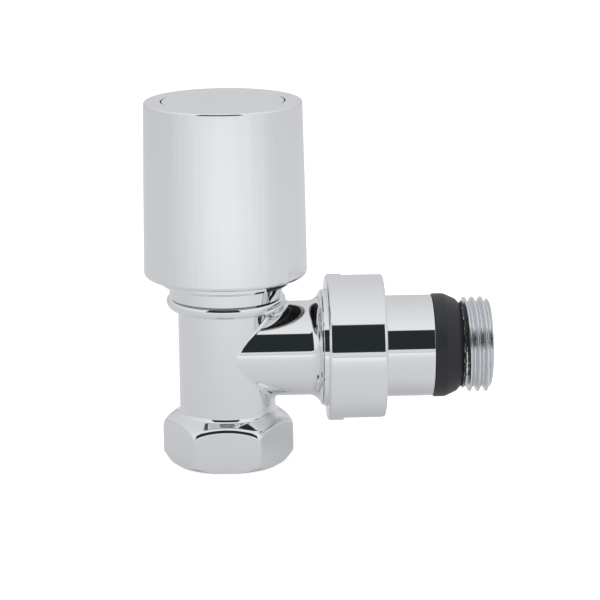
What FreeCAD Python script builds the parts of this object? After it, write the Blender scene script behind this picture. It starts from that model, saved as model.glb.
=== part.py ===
import FreeCAD, Part
import math
import os
import Sketcher
from FreeCAD import Placement, Rotation, Vector

# Angled radiator valve. Millimetres, +Z up along the spindle, +X along the side branch, origin at
# the centre of the inlet's bottom face.

doc = FreeCAD.newDocument("AngledRadiatorValve")

# Driving sizes. Heights run up from the inlet's bottom face, reaches run along +X from the spindle.
SIZES = {
    # Hexagonal inlet boss
    "boss_across_flats": 25.2,
    "boss_edge_height": 8.2,
    "boss_top": 11.1,
    "boss_foot_radius": 12.6,
    "boss_edge_round": 0.8,
    "boss_turn": -2.5,
    "inlet_thread_radius": 9.3155,
    "inlet_thread_depth": 10.0,
    "inlet_bore_radius": 7.0,
    # Upright tube, collar and neck
    "tube_radius": 10.55,
    "bead_radius": 13.05,
    "bead_section": 1.25,
    "bead_height": 35.95,
    "neck_radius": 12.35,
    "neck_top": 43.0,
    # Valve face and chamber
    "port_foot": 13.8,
    "port_radius": 5.5,
    "face_height": 17.0,
    "lip_width": 1.4,
    "lip_height": 1.0,
    "chamber_radius": 8.8,
    "chamber_top": 35.0,
    # Side branch
    "branch_height": 24.7,
    "branch_radius": 10.4,
    "branch_bore_radius": 7.2,
    "branch_blend": 1.0,
    "flare_radius": 3.8,
    "flare_end": 20.8,
    "branch_end": 30.5,
    "branch_end_chamfer": 0.8,
    "union_thread_radius": 12.6,
    "union_land_length": 1.5,
    "union_socket_radius": 8.9,
    "union_socket_depth": 3.9,
    # Bonnet
    "bonnet_thread_radius": 9.7,
    "bonnet_foot": 31.0,
    "bonnet_across_flats": 21.0,
    "bonnet_flange_height": 4.5,
    "bonnet_post_radius": 7.6,
    "bonnet_top": 51.5,
    "guide_radius": 6.1,
    "guide_across_flats": 10.2,
    "guide_top": 38.0,
    "thrust_face": 40.6,
    "bonnet_ring_section": 0.8,
    # Spindle and its seals
    "spindle_radius": 3.95,
    "spindle_foot": 28.0,
    "spindle_top": 62.0,
    "spindle_screw_radius": 3.0,
    "spindle_collar_radius": 5.4,
    "spindle_collar_height": 1.5,
    "spindle_square": 6.0,
    "spindle_ring_section": 0.68,
    "spindle_ring_groove": 1.8,
    "lower_ring_height": 43.0,
    "upper_ring_height": 45.8,
    "thrust_washer_thickness": 0.8,
    "gland_foot": 48.0,
    "gland_radius": 5.5,
    "gland_flange_radius": 6.6,
    "gland_flange_thickness": 1.0,
    "circlip_radius": 5.2,
    "circlip_thickness": 0.7,
    "circlip_groove_radius": 3.3,
    "circlip_mouth": 4.0,
    # Lifted disc
    "carrier_top": 33.0,
    "carrier_flange_radius": 7.9,
    "carrier_flange_thickness": 1.6,
    "carrier_rim_depth": 1.4,
    "carrier_bore_foot": 22.5,
    "disc_washer_radius": 6.95,
    "disc_washer_thickness": 2.0,
    "washer_screw_head_radius": 4.0,
    "washer_screw_head_height": 1.5,
    "washer_screw_radius": 1.8,
    "washer_screw_slot": 0.9,
    "washer_screw_hole_top": 21.5,
    "washer_screw_tip": 21.3,
    # Turning cap
    "cap_bottom": 42.0,
    "cap_height": 38.0,
    "cap_foot_radius": 17.78,
    "cap_crest_radius": 16.99,
    "cap_wall": 1.3,
    "cap_foot_round": 0.9,
    "cap_crest_round": 0.8,
    "cap_disc_radius": 13.3,
    "cap_disc_thickness": 1.8,
    "cap_ledge_radius": 11.3,
    "cap_ledge_thickness": 1.8,
    "cap_disc_leg_length": 3.0,
    "cap_disc_leg_width": 3.2,
    "cap_disc_leg_thickness": 1.0,
    "cap_disc_barb": 0.6,
    "cap_disc_round": 0.2,
    # Hub inside the cap
    "hub_skirt_drop": 2.4,
    "hub_skirt_radius": 14.5,
    "hub_skirt_wall": 1.7,
    "hub_skirt_bevel": 0.6,
    "hub_flange_lift": 0.4,
    "hub_flange_thickness": 2.0,
    "hub_web_gap": 0.8,
    "hub_web_thickness": 2.0,
    "hub_sleeve_radius": 6.2,
    "hub_seat_gap": 0.4,
    "hub_seat_thickness": 1.8,
    "hub_well_radius": 4.7,
    "hub_well_depth": 4.8,
    "hub_rib_thickness": 1.4,
    "hub_rib_gap": 3.2,
    "hub_washer_thickness": 0.7,
    "hub_screw_radius": 1.6,
    "hub_screw_length": 9.0,
    "hub_screw_head_radius": 3.5,
    "hub_screw_head_height": 2.4,
    "hub_screw_slot": 1.0,
    "hub_screw_tip_gap": 1.0,
    # Union nut
    "nut_foot": 21.8,
    "nut_end": 35.0,
    "nut_radius": 16.0,
    "nut_flat_distance": 15.5,
    "nut_flat_foot": 25.8,
    "nut_foot_round": 0.7,
    "nut_end_round": 0.9,
    "nut_shoulder": 1.95,
    "nut_flat_turn": 12.0,
    # Tail and its seals
    "tail_collar_radius": 12.5,
    "tail_radius": 11.05,
    "tail_shoulder": 45.4,
    "tail_neck_radius": 8.4,
    "tail_thread_foot": 51.5,
    "tail_thread_radius": 10.4775,
    "tail_thread_lead": 0.8,
    "tail_end": 57.8,
    "tail_spigot_foot": 27.0,
    "tail_bore_radius": 5.6,
    "tail_key_across_flats": 12.0,
    "tail_key_depth": 11.0,
    "union_ring_section": 0.7,
    "union_ring_groove": 1.9,
    "union_ring_land": 0.5,
    "seal_radius": 11.39,
    "seal_land": 2.4,
    "seal_cone_radius": 10.2,
    "seal_cone_length": 2.5,
    "seal_nose_radius": 8.9,
    "seal_heel_round": 0.4,
    "seal_land_round": 2.0,
    "seal_nose_round": 1.0,
    # Small bevels and clearances
    "small_bevel": 0.4,
    "running_gap": 0.08,
    "press_gap": 0.05,
    "free_gap": 0.3,
}

HEX_CORNER = 1 / math.sqrt(3)
BEVEL_SLOPE = 0.5
RIB_COUNT = 6
DISC_LEG_COUNT = 3

# Cutting outlines run this far past the material, and edges are matched within this distance.
CLEAR = 1.0
MATCH = 0.01

sheet = doc.addObject("Spreadsheet::Sheet", "Sizes")
for row, (alias, value) in enumerate(SIZES.items(), 1):
    sheet.set("A%d" % row, alias)
    sheet.set("B%d" % row, str(value))
    sheet.setAlias("B%d" % row, alias)
doc.recompute()


class Length:
    """A value with the expression that works it out from the cells of the sheet."""

    def __init__(self, value, text):
        self.value = value
        self.text = text

    def joined(self, sign, other, value):
        return Length(value, "(%s %s %s)" % (self.text, sign, other.text))

    def __add__(self, other):
        other = as_length(other)
        return self.joined("+", other, self.value + other.value)

    def __sub__(self, other):
        other = as_length(other)
        return self.joined("-", other, self.value - other.value)

    def __mul__(self, other):
        other = as_length(other)
        return self.joined("*", other, self.value * other.value)

    def __truediv__(self, other):
        other = as_length(other)
        return self.joined("/", other, self.value / other.value)

    def __neg__(self):
        return Length(-self.value, "(0 - %s)" % self.text)


def as_length(number):
    """A plain number as a Length; a Length is handed back as it is."""
    if isinstance(number, Length):
        return number
    return Length(float(number), repr(float(number)))


def root(square):
    """Square root of a Length."""
    return Length(math.sqrt(square.value), "sqrt(%s)" % square.text)


class Sizes:
    """Reads a size of the sheet by its name."""

    def __getattr__(self, alias):
        return Length(SIZES[alias], "Sizes.%s" % alias)


S = Sizes()

# Heights and bores that more than one piece is fitted to.
CLIP_TOP = S.bonnet_top + S.gland_flange_thickness + S.circlip_thickness
WEB_FOOT = CLIP_TOP + S.hub_web_gap
SEAT_FOOT = S.spindle_top + S.hub_seat_gap
SEAT_TOP = SEAT_FOOT + S.hub_seat_thickness
CAP_TOP = S.cap_bottom + S.cap_height
DISC_SEAT = CAP_TOP - S.cap_disc_thickness
LEG_FOOT = DISC_SEAT - S.cap_disc_leg_length
NUT_BORE = S.union_thread_radius + S.free_gap


def bind(thing, path, length):
    """Ties a property to the sheet."""
    thing.setExpression(path, as_length(length).text)


def new_body(label):
    """An empty body that is named as its piece."""
    body = doc.addObject("PartDesign::Body", label)
    body.Label = label
    return body


def new_sketch(body, name, role, lift=None, shift=None):
    """A sketch on one of the body's origin planes, moved off it by lift, or along its own y by shift."""
    sketch = body.newObject("Sketcher::SketchObject", name)
    for feature in body.Origin.OriginFeatures:
        if feature.Role == role:
            sketch.AttachmentSupport = [(feature, "")]
    sketch.MapMode = "FlatFace"
    if lift is not None:
        bind(sketch, "AttachmentOffset.Base.z", lift)
    if shift is not None:
        bind(sketch, "AttachmentOffset.Base.y", shift)
    return sketch


def hold(sketch, kind, edge, end, distance):
    """Holds one end of an edge at a distance from the sketch's origin."""
    index = sketch.addConstraint(Sketcher.Constraint(kind, -1, 1, edge, end, distance.value))
    if "Sizes." in distance.text:
        sketch.setExpression("Constraints[%d]" % index, distance.text)


def arc_between(start, finish, radius):
    """Arc from start to finish; it bulges to the left of that way for a positive radius."""
    chord = finish - start
    half = chord.Length / 2
    left = Vector(-chord.y, chord.x, 0).normalize()
    sagitta = abs(radius) - math.sqrt(max(radius * radius - half * half, 0))
    middle = start + chord * 0.5 + left * math.copysign(sagitta, radius)
    return Part.Arc(start, middle, finish)


def outline(sketch, steps):
    """Closed outline through points (x, y); a third value bends the edge that starts there."""
    points = [Vector(as_length(step[0]).value, as_length(step[1]).value, 0) for step in steps]
    ends = []
    for index, step in enumerate(steps):
        start = points[index]
        finish = points[(index + 1) % len(points)]
        if len(step) == 3:
            edge = arc_between(start, finish, as_length(step[2]).value)
        else:
            edge = Part.LineSegment(start, finish)
        sketch.addGeometry(edge, False)
        first = 1 if sketch.Geometry[index].StartPoint.distanceToPoint(start) < MATCH else 2
        ends.append((first, 3 - first))
    for index, step in enumerate(steps):
        following = (index + 1) % len(steps)
        sketch.addConstraint(
            Sketcher.Constraint("Coincident", index, ends[index][1], following, ends[following][0])
        )
        hold(sketch, "DistanceX", index, ends[index][0], as_length(step[0]))
        hold(sketch, "DistanceY", index, ends[index][0], as_length(step[1]))
        if len(step) == 3:
            radius = as_length(step[2])
            if radius.value < 0:
                radius = -radius
            curve = sketch.addConstraint(Sketcher.Constraint("Radius", index, radius.value))
            sketch.setExpression("Constraints[%d]" % curve, radius.text)


def turned(body, name, steps, kind="PartDesign::Revolution", axis="V_Axis", shift=None):
    """Turns an outline of the XZ plane a full circle about an axis of its sketch."""
    sketch = new_sketch(body, name + "Sketch", "XZ_Plane", shift=shift)
    outline(sketch, steps)
    feature = body.newObject(kind, name)
    feature.Profile = sketch
    feature.ReferenceAxis = (sketch, [axis])
    feature.Angle = 360
    doc.recompute()
    return feature


def bored(body, name, steps, axis="V_Axis", shift=None):
    """Removes a turned outline."""
    return turned(body, name, steps, "PartDesign::Groove", axis, shift)


def raised(body, name, steps, foot, height, turn=None):
    """Pads an outline of the XY plane upwards from a height; turn is in degrees about Z."""
    sketch = new_sketch(body, name + "Sketch", "XY_Plane", lift=foot)
    if turn is not None:
        sketch.AttachmentOffset = Placement(Vector(0, 0, foot.value), Rotation(Vector(0, 0, 1), 1))
        bind(sketch, "AttachmentOffset.Rotation.Angle", turn)
    outline(sketch, steps)
    feature = body.newObject("PartDesign::Pad", name)
    feature.Profile = sketch
    bind(feature, "Length", height)
    doc.recompute()
    return feature


def sunk(body, name, steps, top, depth):
    """Cuts an outline of the XY plane downwards from a height."""
    sketch = new_sketch(body, name + "Sketch", "XY_Plane", lift=top)
    outline(sketch, steps)
    feature = body.newObject("PartDesign::Pocket", name)
    feature.Profile = sketch
    bind(feature, "Length", depth)
    doc.recompute()
    return feature


def repeated(body, name, feature, count):
    """Repeats a feature round the Z axis."""
    pattern = body.newObject("PartDesign::PolarPattern", name)
    pattern.Originals = [feature]
    for axis in body.Origin.OriginFeatures:
        if axis.Role == "Z_Axis":
            pattern.Axis = (axis, [""])
    pattern.Angle = 360
    pattern.Occurrences = count
    body.Tip = pattern
    doc.recompute()
    return pattern


def eased(body, name, names, radius, kind="PartDesign::Fillet"):
    """Rounds or chamfers named edges of the body so far."""
    base = body.Tip
    feature = body.newObject(kind, name)
    feature.Base = (base, names)
    bind(feature, "Radius" if kind == "PartDesign::Fillet" else "Size", radius)
    doc.recompute()
    return feature


def rims(body, rings):
    """Round edges about the Z axis that have the given radius and height."""
    names = []
    for number, edge in enumerate(body.Tip.Shape.Edges, 1):
        if not isinstance(edge.Curve, Part.Circle):
            continue
        for radius, height in rings:
            same_radius = abs(edge.Curve.Radius - as_length(radius).value) < MATCH
            same_height = abs(edge.Curve.Center.z - as_length(height).value) < MATCH
            if same_radius and same_height:
                names.append("Edge%d" % number)
    return names


def upright_edges(body):
    """Straight edges of the body so far that run along the Z axis."""
    names = []
    for number, edge in enumerate(body.Tip.Shape.Edges, 1):
        along = abs(edge.tangentAt(edge.FirstParameter).z) > 1 - MATCH
        if isinstance(edge.Curve, Part.Line) and along:
            names.append("Edge%d" % number)
    return names


def crease_edges(body, upright_radius, lying_radius, height):
    """Edges where an upright cylinder meets a cylinder that lies along +X at a height."""
    names = []
    for number, edge in enumerate(body.Tip.Shape.Edges, 1):
        middle = edge.valueAt((edge.FirstParameter + edge.LastParameter) / 2)
        upright = math.hypot(middle.x, middle.y) - upright_radius.value
        lying = math.hypot(middle.y, middle.z - height.value) - lying_radius.value
        if abs(upright) < MATCH and abs(lying) < MATCH:
            names.append("Edge%d" % number)
    return names


def hexagon(across_flats):
    """Corners of a hexagon with two flats facing +Y and -Y."""
    side = across_flats * HEX_CORNER
    flat = across_flats / 2
    half = side / 2
    return [(side, 0), (half, flat), (-half, flat), (-side, 0), (-half, -flat), (half, -flat)]


def rectangle(left, right, back, front):
    """Corners of a rectangle."""
    return [(left, back), (right, back), (right, front), (left, front)]


def lay_along_branch(body):
    """Turns a body so that its own Z axis lies on the branch axis."""
    body.Placement = Placement(Vector(0, 0, SIZES["branch_height"]), Rotation(Vector(0, 1, 0), 90))
    bind(body, "Placement.Base.z", S.branch_height)


def torus_ring(label, centre_radius, section, height):
    """Plain O-ring about the Z axis."""
    ring = doc.addObject("Part::Torus", label)
    ring.Label = label
    bind(ring, "Radius1", centre_radius)
    bind(ring, "Radius2", section)
    bind(ring, "Placement.Base.z", height)
    return ring


def valve_body():
    """Forged body: hexagonal boss, tube, collar, neck, flared branch and the valve face inside."""
    body = new_body("valve_body")
    corner = S.boss_across_flats * HEX_CORNER
    raised(body, "Boss", hexagon(S.boss_across_flats), as_length(0), S.boss_top, S.boss_turn)
    eased(body, "BossEdges", upright_edges(body), S.boss_edge_round)
    slope = (S.boss_top - S.boss_edge_height) / (corner - S.tube_radius)
    bored(body, "BossCone", [
        (S.tube_radius, S.boss_top),
        (corner + CLEAR, S.boss_edge_height - slope * CLEAR),
        (corner + CLEAR, S.boss_top + CLEAR),
        (S.tube_radius, S.boss_top + CLEAR),
    ])
    bored(body, "BossFoot", [
        (S.boss_foot_radius, 0),
        (S.boss_foot_radius, -CLEAR),
        (corner + CLEAR, -CLEAR),
        (corner + CLEAR, corner + CLEAR - S.boss_foot_radius),
    ])

    bead_centre = S.bead_radius - S.bead_section
    overhang = S.neck_radius - bead_centre
    bead_top = S.bead_height + root(S.bead_section * S.bead_section - overhang * overhang)
    tube_foot = S.boss_edge_height / 2
    turned(body, "Tube", [
        (0, tube_foot),
        (S.tube_radius, tube_foot),
        (S.tube_radius, S.bead_height - S.bead_section),
        (bead_centre, S.bead_height - S.bead_section, -S.bead_section),
        (S.neck_radius, bead_top),
        (S.neck_radius, S.neck_top),
        (0, S.neck_top),
    ])

    land_radius = NUT_BORE - S.running_gap
    land_end = S.flare_end + S.union_land_length
    rise = land_radius - S.branch_radius
    drop = S.flare_radius - rise
    flare_start = S.flare_end - root(S.flare_radius * S.flare_radius - drop * drop)
    chamfer = S.branch_end_chamfer
    turned(body, "Branch", [
        (0, 0),
        (0, S.branch_radius),
        (flare_start, S.branch_radius, -S.flare_radius),
        (S.flare_end, land_radius),
        (land_end, land_radius),
        (land_end, S.union_thread_radius),
        (S.branch_end - chamfer, S.union_thread_radius),
        (S.branch_end, S.union_thread_radius - chamfer),
        (S.branch_end, 0),
    ], axis="H_Axis", shift=S.branch_height)
    creases = crease_edges(body, S.tube_radius, S.branch_radius, S.branch_height)
    eased(body, "BranchBlend", creases, S.branch_blend)

    lip_radius = S.port_radius + S.lip_width
    floor = S.face_height - S.lip_height
    thread_bore = S.bonnet_thread_radius + S.press_gap
    ring_bore = S.bonnet_thread_radius + S.bonnet_ring_section * 1.5
    ring_foot = S.neck_top - S.bonnet_ring_section * 2
    bored(body, "UprightBore", [
        (0, 0),
        (S.inlet_thread_radius, 0),
        (S.inlet_thread_radius, S.inlet_thread_depth),
        (S.inlet_bore_radius, S.inlet_thread_depth),
        (S.inlet_bore_radius, S.port_foot),
        (S.port_radius, S.port_foot),
        (S.port_radius, S.face_height),
        (lip_radius, S.face_height),
        (lip_radius, floor),
        (S.chamber_radius, floor),
        (S.chamber_radius, S.chamber_top),
        (thread_bore, S.chamber_top),
        (thread_bore, ring_foot),
        (ring_bore, ring_foot),
        (ring_bore, S.neck_top),
        (0, S.neck_top),
    ])
    socket_foot = S.branch_end - S.union_socket_depth
    bored(body, "BranchBore", [
        (0, 0),
        (0, S.branch_bore_radius),
        (socket_foot, S.branch_bore_radius),
        (socket_foot, S.union_socket_radius),
        (S.branch_end, S.union_socket_radius),
        (S.branch_end, 0),
    ], axis="H_Axis", shift=S.branch_height)
    return body


def bonnet():
    """Screwed headgear with a two-flat guide for the carrier and the bore of the spindle."""
    body = new_body("bonnet")
    flange_top = S.neck_top + S.bonnet_flange_height
    ring_foot = S.neck_top - S.bonnet_ring_section * 2
    ring_seat = S.bonnet_thread_radius - S.bonnet_ring_section / 2
    sleeve = S.chamber_radius - S.free_gap
    turned(body, "Stem", [
        (0, S.bonnet_foot),
        (sleeve, S.bonnet_foot),
        (sleeve, S.chamber_top),
        (S.bonnet_thread_radius, S.chamber_top),
        (S.bonnet_thread_radius, ring_foot),
        (ring_seat, ring_foot),
        (ring_seat, S.neck_top),
        (S.bonnet_post_radius, S.neck_top),
        (S.bonnet_post_radius, S.bonnet_top),
        (0, S.bonnet_top),
    ])
    raised(body, "Flange", hexagon(S.bonnet_across_flats), S.neck_top, S.bonnet_flange_height)
    corner = S.bonnet_across_flats * HEX_CORNER
    bevel = corner - S.bonnet_across_flats / 2
    bored(body, "FlangeBevel", [
        (corner - bevel, flange_top),
        (corner + CLEAR, flange_top - (bevel + CLEAR) * BEVEL_SLOPE),
        (corner + CLEAR, flange_top + CLEAR),
        (corner - bevel, flange_top + CLEAR),
    ])
    guide = S.guide_across_flats / 2
    half = root(S.guide_radius * S.guide_radius - guide * guide)
    sunk(body, "Guide", [
        (half, guide),
        (-half, guide, -S.guide_radius),
        (-half, -guide),
        (half, -guide, -S.guide_radius),
    ], S.guide_top, S.guide_top - S.bonnet_foot)
    spindle_bore = S.spindle_radius + S.running_gap
    bored(body, "SpindleBore", [
        (0, S.guide_top),
        (S.guide_radius, S.guide_top),
        (S.guide_radius, S.thrust_face),
        (spindle_bore, S.thrust_face),
        (spindle_bore, S.gland_foot),
        (S.gland_radius + S.press_gap, S.gland_foot),
        (S.gland_radius + S.press_gap, S.bonnet_top),
        (0, S.bonnet_top),
    ])
    return body


def spindle():
    """Turned spindle: lifting screw, collar, two ring grooves, clip groove and square top."""
    body = new_body("spindle")
    collar_top = S.thrust_face - S.thrust_washer_thickness
    collar_foot = collar_top - S.spindle_collar_height
    groove = S.spindle_radius - S.spindle_ring_section * 2
    half = S.spindle_ring_groove / 2
    clip_foot = S.bonnet_top + S.gland_flange_thickness
    turned(body, "Shaft", [
        (0, S.spindle_foot),
        (S.spindle_screw_radius - S.small_bevel, S.spindle_foot),
        (S.spindle_screw_radius, S.spindle_foot + S.small_bevel),
        (S.spindle_screw_radius, collar_foot),
        (S.spindle_collar_radius, collar_foot),
        (S.spindle_collar_radius, collar_top),
        (S.spindle_radius, collar_top),
        (S.spindle_radius, S.lower_ring_height - half),
        (groove, S.lower_ring_height - half),
        (groove, S.lower_ring_height + half),
        (S.spindle_radius, S.lower_ring_height + half),
        (S.spindle_radius, S.upper_ring_height - half),
        (groove, S.upper_ring_height - half),
        (groove, S.upper_ring_height + half),
        (S.spindle_radius, S.upper_ring_height + half),
        (S.spindle_radius, clip_foot),
        (S.circlip_groove_radius, clip_foot),
        (S.circlip_groove_radius, CLIP_TOP),
        (S.spindle_radius, CLIP_TOP),
        (S.spindle_radius, S.spindle_top),
        (0, S.spindle_top),
    ])
    side = S.spindle_square / 2
    clear = S.spindle_radius + CLEAR
    length = S.spindle_top - WEB_FOOT + S.press_gap
    flat = sunk(body, "SquareFlat", rectangle(side, clear, -clear, clear), S.spindle_top, length)
    repeated(body, "Square", flat, 4)
    bored(body, "ScrewHole", [
        (0, S.spindle_top - S.hub_screw_length),
        (S.hub_screw_radius + S.press_gap, S.spindle_top - S.hub_screw_length),
        (S.hub_screw_radius + S.press_gap, S.spindle_top),
        (0, S.spindle_top),
    ])
    return body


def bonnet_ring():
    """O-ring between the bonnet and the top of the body."""
    centre = S.bonnet_thread_radius + S.bonnet_ring_section / 2
    height = S.neck_top - S.bonnet_ring_section
    return torus_ring("bonnet_o_ring", centre, S.bonnet_ring_section, height)


def spindle_rings():
    """The two O-rings in the grooves of the spindle."""
    centre = S.spindle_radius - S.spindle_ring_section
    return [
        torus_ring("spindle_o_ring_lower", centre, S.spindle_ring_section, S.lower_ring_height),
        torus_ring("spindle_o_ring_upper", centre, S.spindle_ring_section, S.upper_ring_height),
    ]


def gland_bush():
    """Bush pressed into the top of the bonnet."""
    body = new_body("gland_bush")
    bore = S.spindle_radius + S.running_gap
    turned(body, "Bush", [
        (bore, S.gland_foot),
        (S.gland_radius, S.gland_foot),
        (S.gland_radius, S.bonnet_top),
        (S.gland_flange_radius, S.bonnet_top),
        (S.gland_flange_radius, S.bonnet_top + S.gland_flange_thickness - S.running_gap),
        (bore, S.bonnet_top + S.gland_flange_thickness - S.running_gap),
    ])
    return body


def circlip():
    """Open spring clip in the groove of the spindle."""
    body = new_body("circlip")
    foot = S.bonnet_top + S.gland_flange_thickness
    turned(body, "Ring", [
        (S.circlip_groove_radius, foot),
        (S.circlip_radius, foot),
        (S.circlip_radius, CLIP_TOP),
        (S.circlip_groove_radius, CLIP_TOP),
    ])
    half = S.circlip_mouth / 2
    sunk(body, "Mouth", rectangle(0, S.circlip_radius + CLEAR, -half, half), CLIP_TOP + CLEAR,
         S.circlip_thickness + CLEAR * 2)
    return body


def thrust_washer():
    """Plastic washer between the collar of the spindle and the bonnet."""
    body = new_body("thrust_washer")
    foot = S.thrust_face - S.thrust_washer_thickness
    top = S.thrust_face - S.running_gap
    bore = S.spindle_radius + S.press_gap
    turned(body, "Washer", [
        (bore, foot),
        (S.spindle_collar_radius, foot),
        (S.spindle_collar_radius, top),
        (bore, top),
    ])
    return body


def disc_carrier():
    """Follower with two flats; the spindle's screw lifts it in the guide of the bonnet."""
    body = new_body("disc_carrier")
    seat = S.face_height + S.disc_washer_thickness
    flange_top = seat + S.carrier_flange_thickness
    radius = S.guide_radius - S.running_gap
    rim = S.disc_washer_radius + S.press_gap
    turned(body, "Stem", [
        (0, seat),
        (rim, seat),
        (rim, seat - S.carrier_rim_depth),
        (S.carrier_flange_radius, seat - S.carrier_rim_depth),
        (S.carrier_flange_radius, flange_top),
        (radius, flange_top),
        (radius, S.carrier_top),
        (0, S.carrier_top),
    ])
    flat = S.guide_across_flats / 2 - S.running_gap
    clear = S.guide_radius + CLEAR
    side = sunk(body, "Flat", rectangle(-clear, clear, flat, clear), S.carrier_top,
                S.carrier_top - flange_top)
    repeated(body, "Flats", side, 2)
    screw_bore = S.spindle_screw_radius + S.running_gap
    pin_bore = S.washer_screw_radius + S.press_gap
    bored(body, "Bores", [
        (0, S.carrier_bore_foot),
        (screw_bore, S.carrier_bore_foot),
        (screw_bore, S.carrier_top),
        (0, S.carrier_top),
    ])
    bored(body, "ScrewBore", [
        (0, seat),
        (pin_bore, seat),
        (pin_bore, S.washer_screw_hole_top),
        (0, S.washer_screw_hole_top),
    ])
    return body


def disc_washer():
    """Rubber washer that closes on the lip of the port."""
    body = new_body("disc_washer")
    bore = S.washer_screw_radius + S.press_gap
    top = S.face_height + S.disc_washer_thickness
    turned(body, "Washer", [
        (bore, S.face_height),
        (S.disc_washer_radius, S.face_height),
        (S.disc_washer_radius, top),
        (bore, top),
    ])
    return body


def washer_screw():
    """Slotted screw that holds the rubber washer on the carrier."""
    body = new_body("washer_screw")
    head_foot = S.face_height - S.washer_screw_head_height
    turned(body, "Screw", [
        (0, head_foot),
        (S.washer_screw_head_radius - S.small_bevel, head_foot),
        (S.washer_screw_head_radius, head_foot + S.small_bevel),
        (S.washer_screw_head_radius, S.face_height),
        (S.washer_screw_radius, S.face_height),
        (S.washer_screw_radius, S.washer_screw_tip),
        (0, S.washer_screw_tip),
    ])
    half = S.washer_screw_slot / 2
    reach = S.washer_screw_head_radius + CLEAR
    depth = S.washer_screw_head_height / 2
    sunk(body, "Slot", rectangle(-reach, reach, -half, half), head_foot + depth, depth + CLEAR)
    return body


def cap_inner_radius(height):
    """Inner radius of the turning cap at a height."""
    taper = (S.cap_foot_radius - S.cap_crest_radius) / S.cap_height
    return S.cap_foot_radius - S.cap_wall - taper * (height - S.cap_bottom)


def handwheel_cap():
    """Tall tapered shell with a ledge for the disc in its top."""
    body = new_body("handwheel_cap")
    ledge = DISC_SEAT - S.cap_ledge_thickness
    recess = S.cap_disc_radius + S.press_gap
    turned(body, "Shell", [
        (cap_inner_radius(S.cap_bottom), S.cap_bottom),
        (S.cap_foot_radius, S.cap_bottom),
        (S.cap_crest_radius, CAP_TOP),
        (recess, CAP_TOP),
        (recess, DISC_SEAT),
        (S.cap_ledge_radius, DISC_SEAT),
        (S.cap_ledge_radius, ledge),
        (cap_inner_radius(ledge), ledge),
    ])
    eased(body, "CrestRound", rims(body, [(S.cap_crest_radius, CAP_TOP)]), S.cap_crest_round)
    eased(body, "FootRound", rims(body, [(S.cap_foot_radius, S.cap_bottom)]), S.cap_foot_round)
    return body


def cap_disc():
    """Round disc in the top of the cap, with snap legs under the ledge."""
    body = new_body("cap_disc")
    turned(body, "Disc", [
        (0, DISC_SEAT),
        (S.cap_disc_radius, DISC_SEAT),
        (S.cap_disc_radius, CAP_TOP),
        (0, CAP_TOP),
    ])
    eased(body, "DiscRound", rims(body, [(S.cap_disc_radius, CAP_TOP)]), S.cap_disc_round)
    half = S.cap_disc_leg_width / 2
    outer = S.cap_ledge_radius - S.free_gap
    inner = outer - S.cap_disc_leg_thickness
    leg = raised(body, "Leg", rectangle(inner, outer, -half, half), LEG_FOOT,
                 S.cap_disc_leg_length)
    repeated(body, "Legs", leg, DISC_LEG_COUNT)
    barb_top = DISC_SEAT - S.cap_ledge_thickness - S.running_gap
    barb = raised(body, "Barb", rectangle(inner, outer + S.cap_disc_barb, -half, half), LEG_FOOT,
                  barb_top - LEG_FOOT)
    repeated(body, "Barbs", barb, DISC_LEG_COUNT)
    return body


def handwheel_hub():
    """Moulded hub: skirt under the cap, web, ribbed sleeve and the square for the spindle."""
    body = new_body("handwheel_hub")
    skirt_bore = S.hub_skirt_radius - S.hub_skirt_wall
    flange_foot = S.cap_bottom + S.hub_flange_lift
    skirt_foot = flange_foot - S.hub_skirt_drop
    flange_top = flange_foot + S.hub_flange_thickness
    flange_radius = cap_inner_radius(flange_top) - S.press_gap
    web_top = WEB_FOOT + S.hub_web_thickness
    sleeve_top = SEAT_TOP + S.hub_well_depth
    screw_hole = S.hub_screw_radius + S.free_gap
    turned(body, "Hub", [
        (0, WEB_FOOT),
        (skirt_bore, WEB_FOOT),
        (skirt_bore, skirt_foot),
        (S.hub_skirt_radius - S.hub_skirt_bevel, skirt_foot),
        (S.hub_skirt_radius, skirt_foot + S.hub_skirt_bevel),
        (S.hub_skirt_radius, flange_foot),
        (flange_radius, flange_foot),
        (flange_radius, flange_top),
        (S.hub_skirt_radius, flange_top),
        (S.hub_skirt_radius, web_top),
        (S.hub_sleeve_radius, web_top),
        (S.hub_sleeve_radius, sleeve_top),
        (S.hub_well_radius, sleeve_top),
        (S.hub_well_radius, SEAT_TOP),
        (screw_hole, SEAT_TOP),
        (screw_hole, SEAT_FOOT),
        (0, SEAT_FOOT),
    ])
    half = S.hub_rib_thickness / 2
    rib_top = LEG_FOOT - S.hub_rib_gap
    reach = cap_inner_radius(rib_top) - S.press_gap - S.running_gap
    inner = (S.hub_sleeve_radius + S.hub_well_radius) / 2
    rib = raised(body, "Rib", rectangle(inner, reach, -half, half), WEB_FOOT, rib_top - WEB_FOOT)
    repeated(body, "Ribs", rib, RIB_COUNT)
    side = S.spindle_square / 2 + S.press_gap
    sunk(body, "SquareHole", rectangle(-side, side, -side, side), SEAT_FOOT,
         SEAT_FOOT - WEB_FOOT)
    return body


def hub_washer():
    """Washer under the hub screw."""
    body = new_body("hub_washer")
    bore = S.hub_screw_radius + S.press_gap
    outer = S.hub_well_radius - S.free_gap
    turned(body, "Washer", [
        (bore, SEAT_TOP),
        (outer, SEAT_TOP),
        (outer, SEAT_TOP + S.hub_washer_thickness),
        (bore, SEAT_TOP + S.hub_washer_thickness),
    ])
    return body


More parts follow.
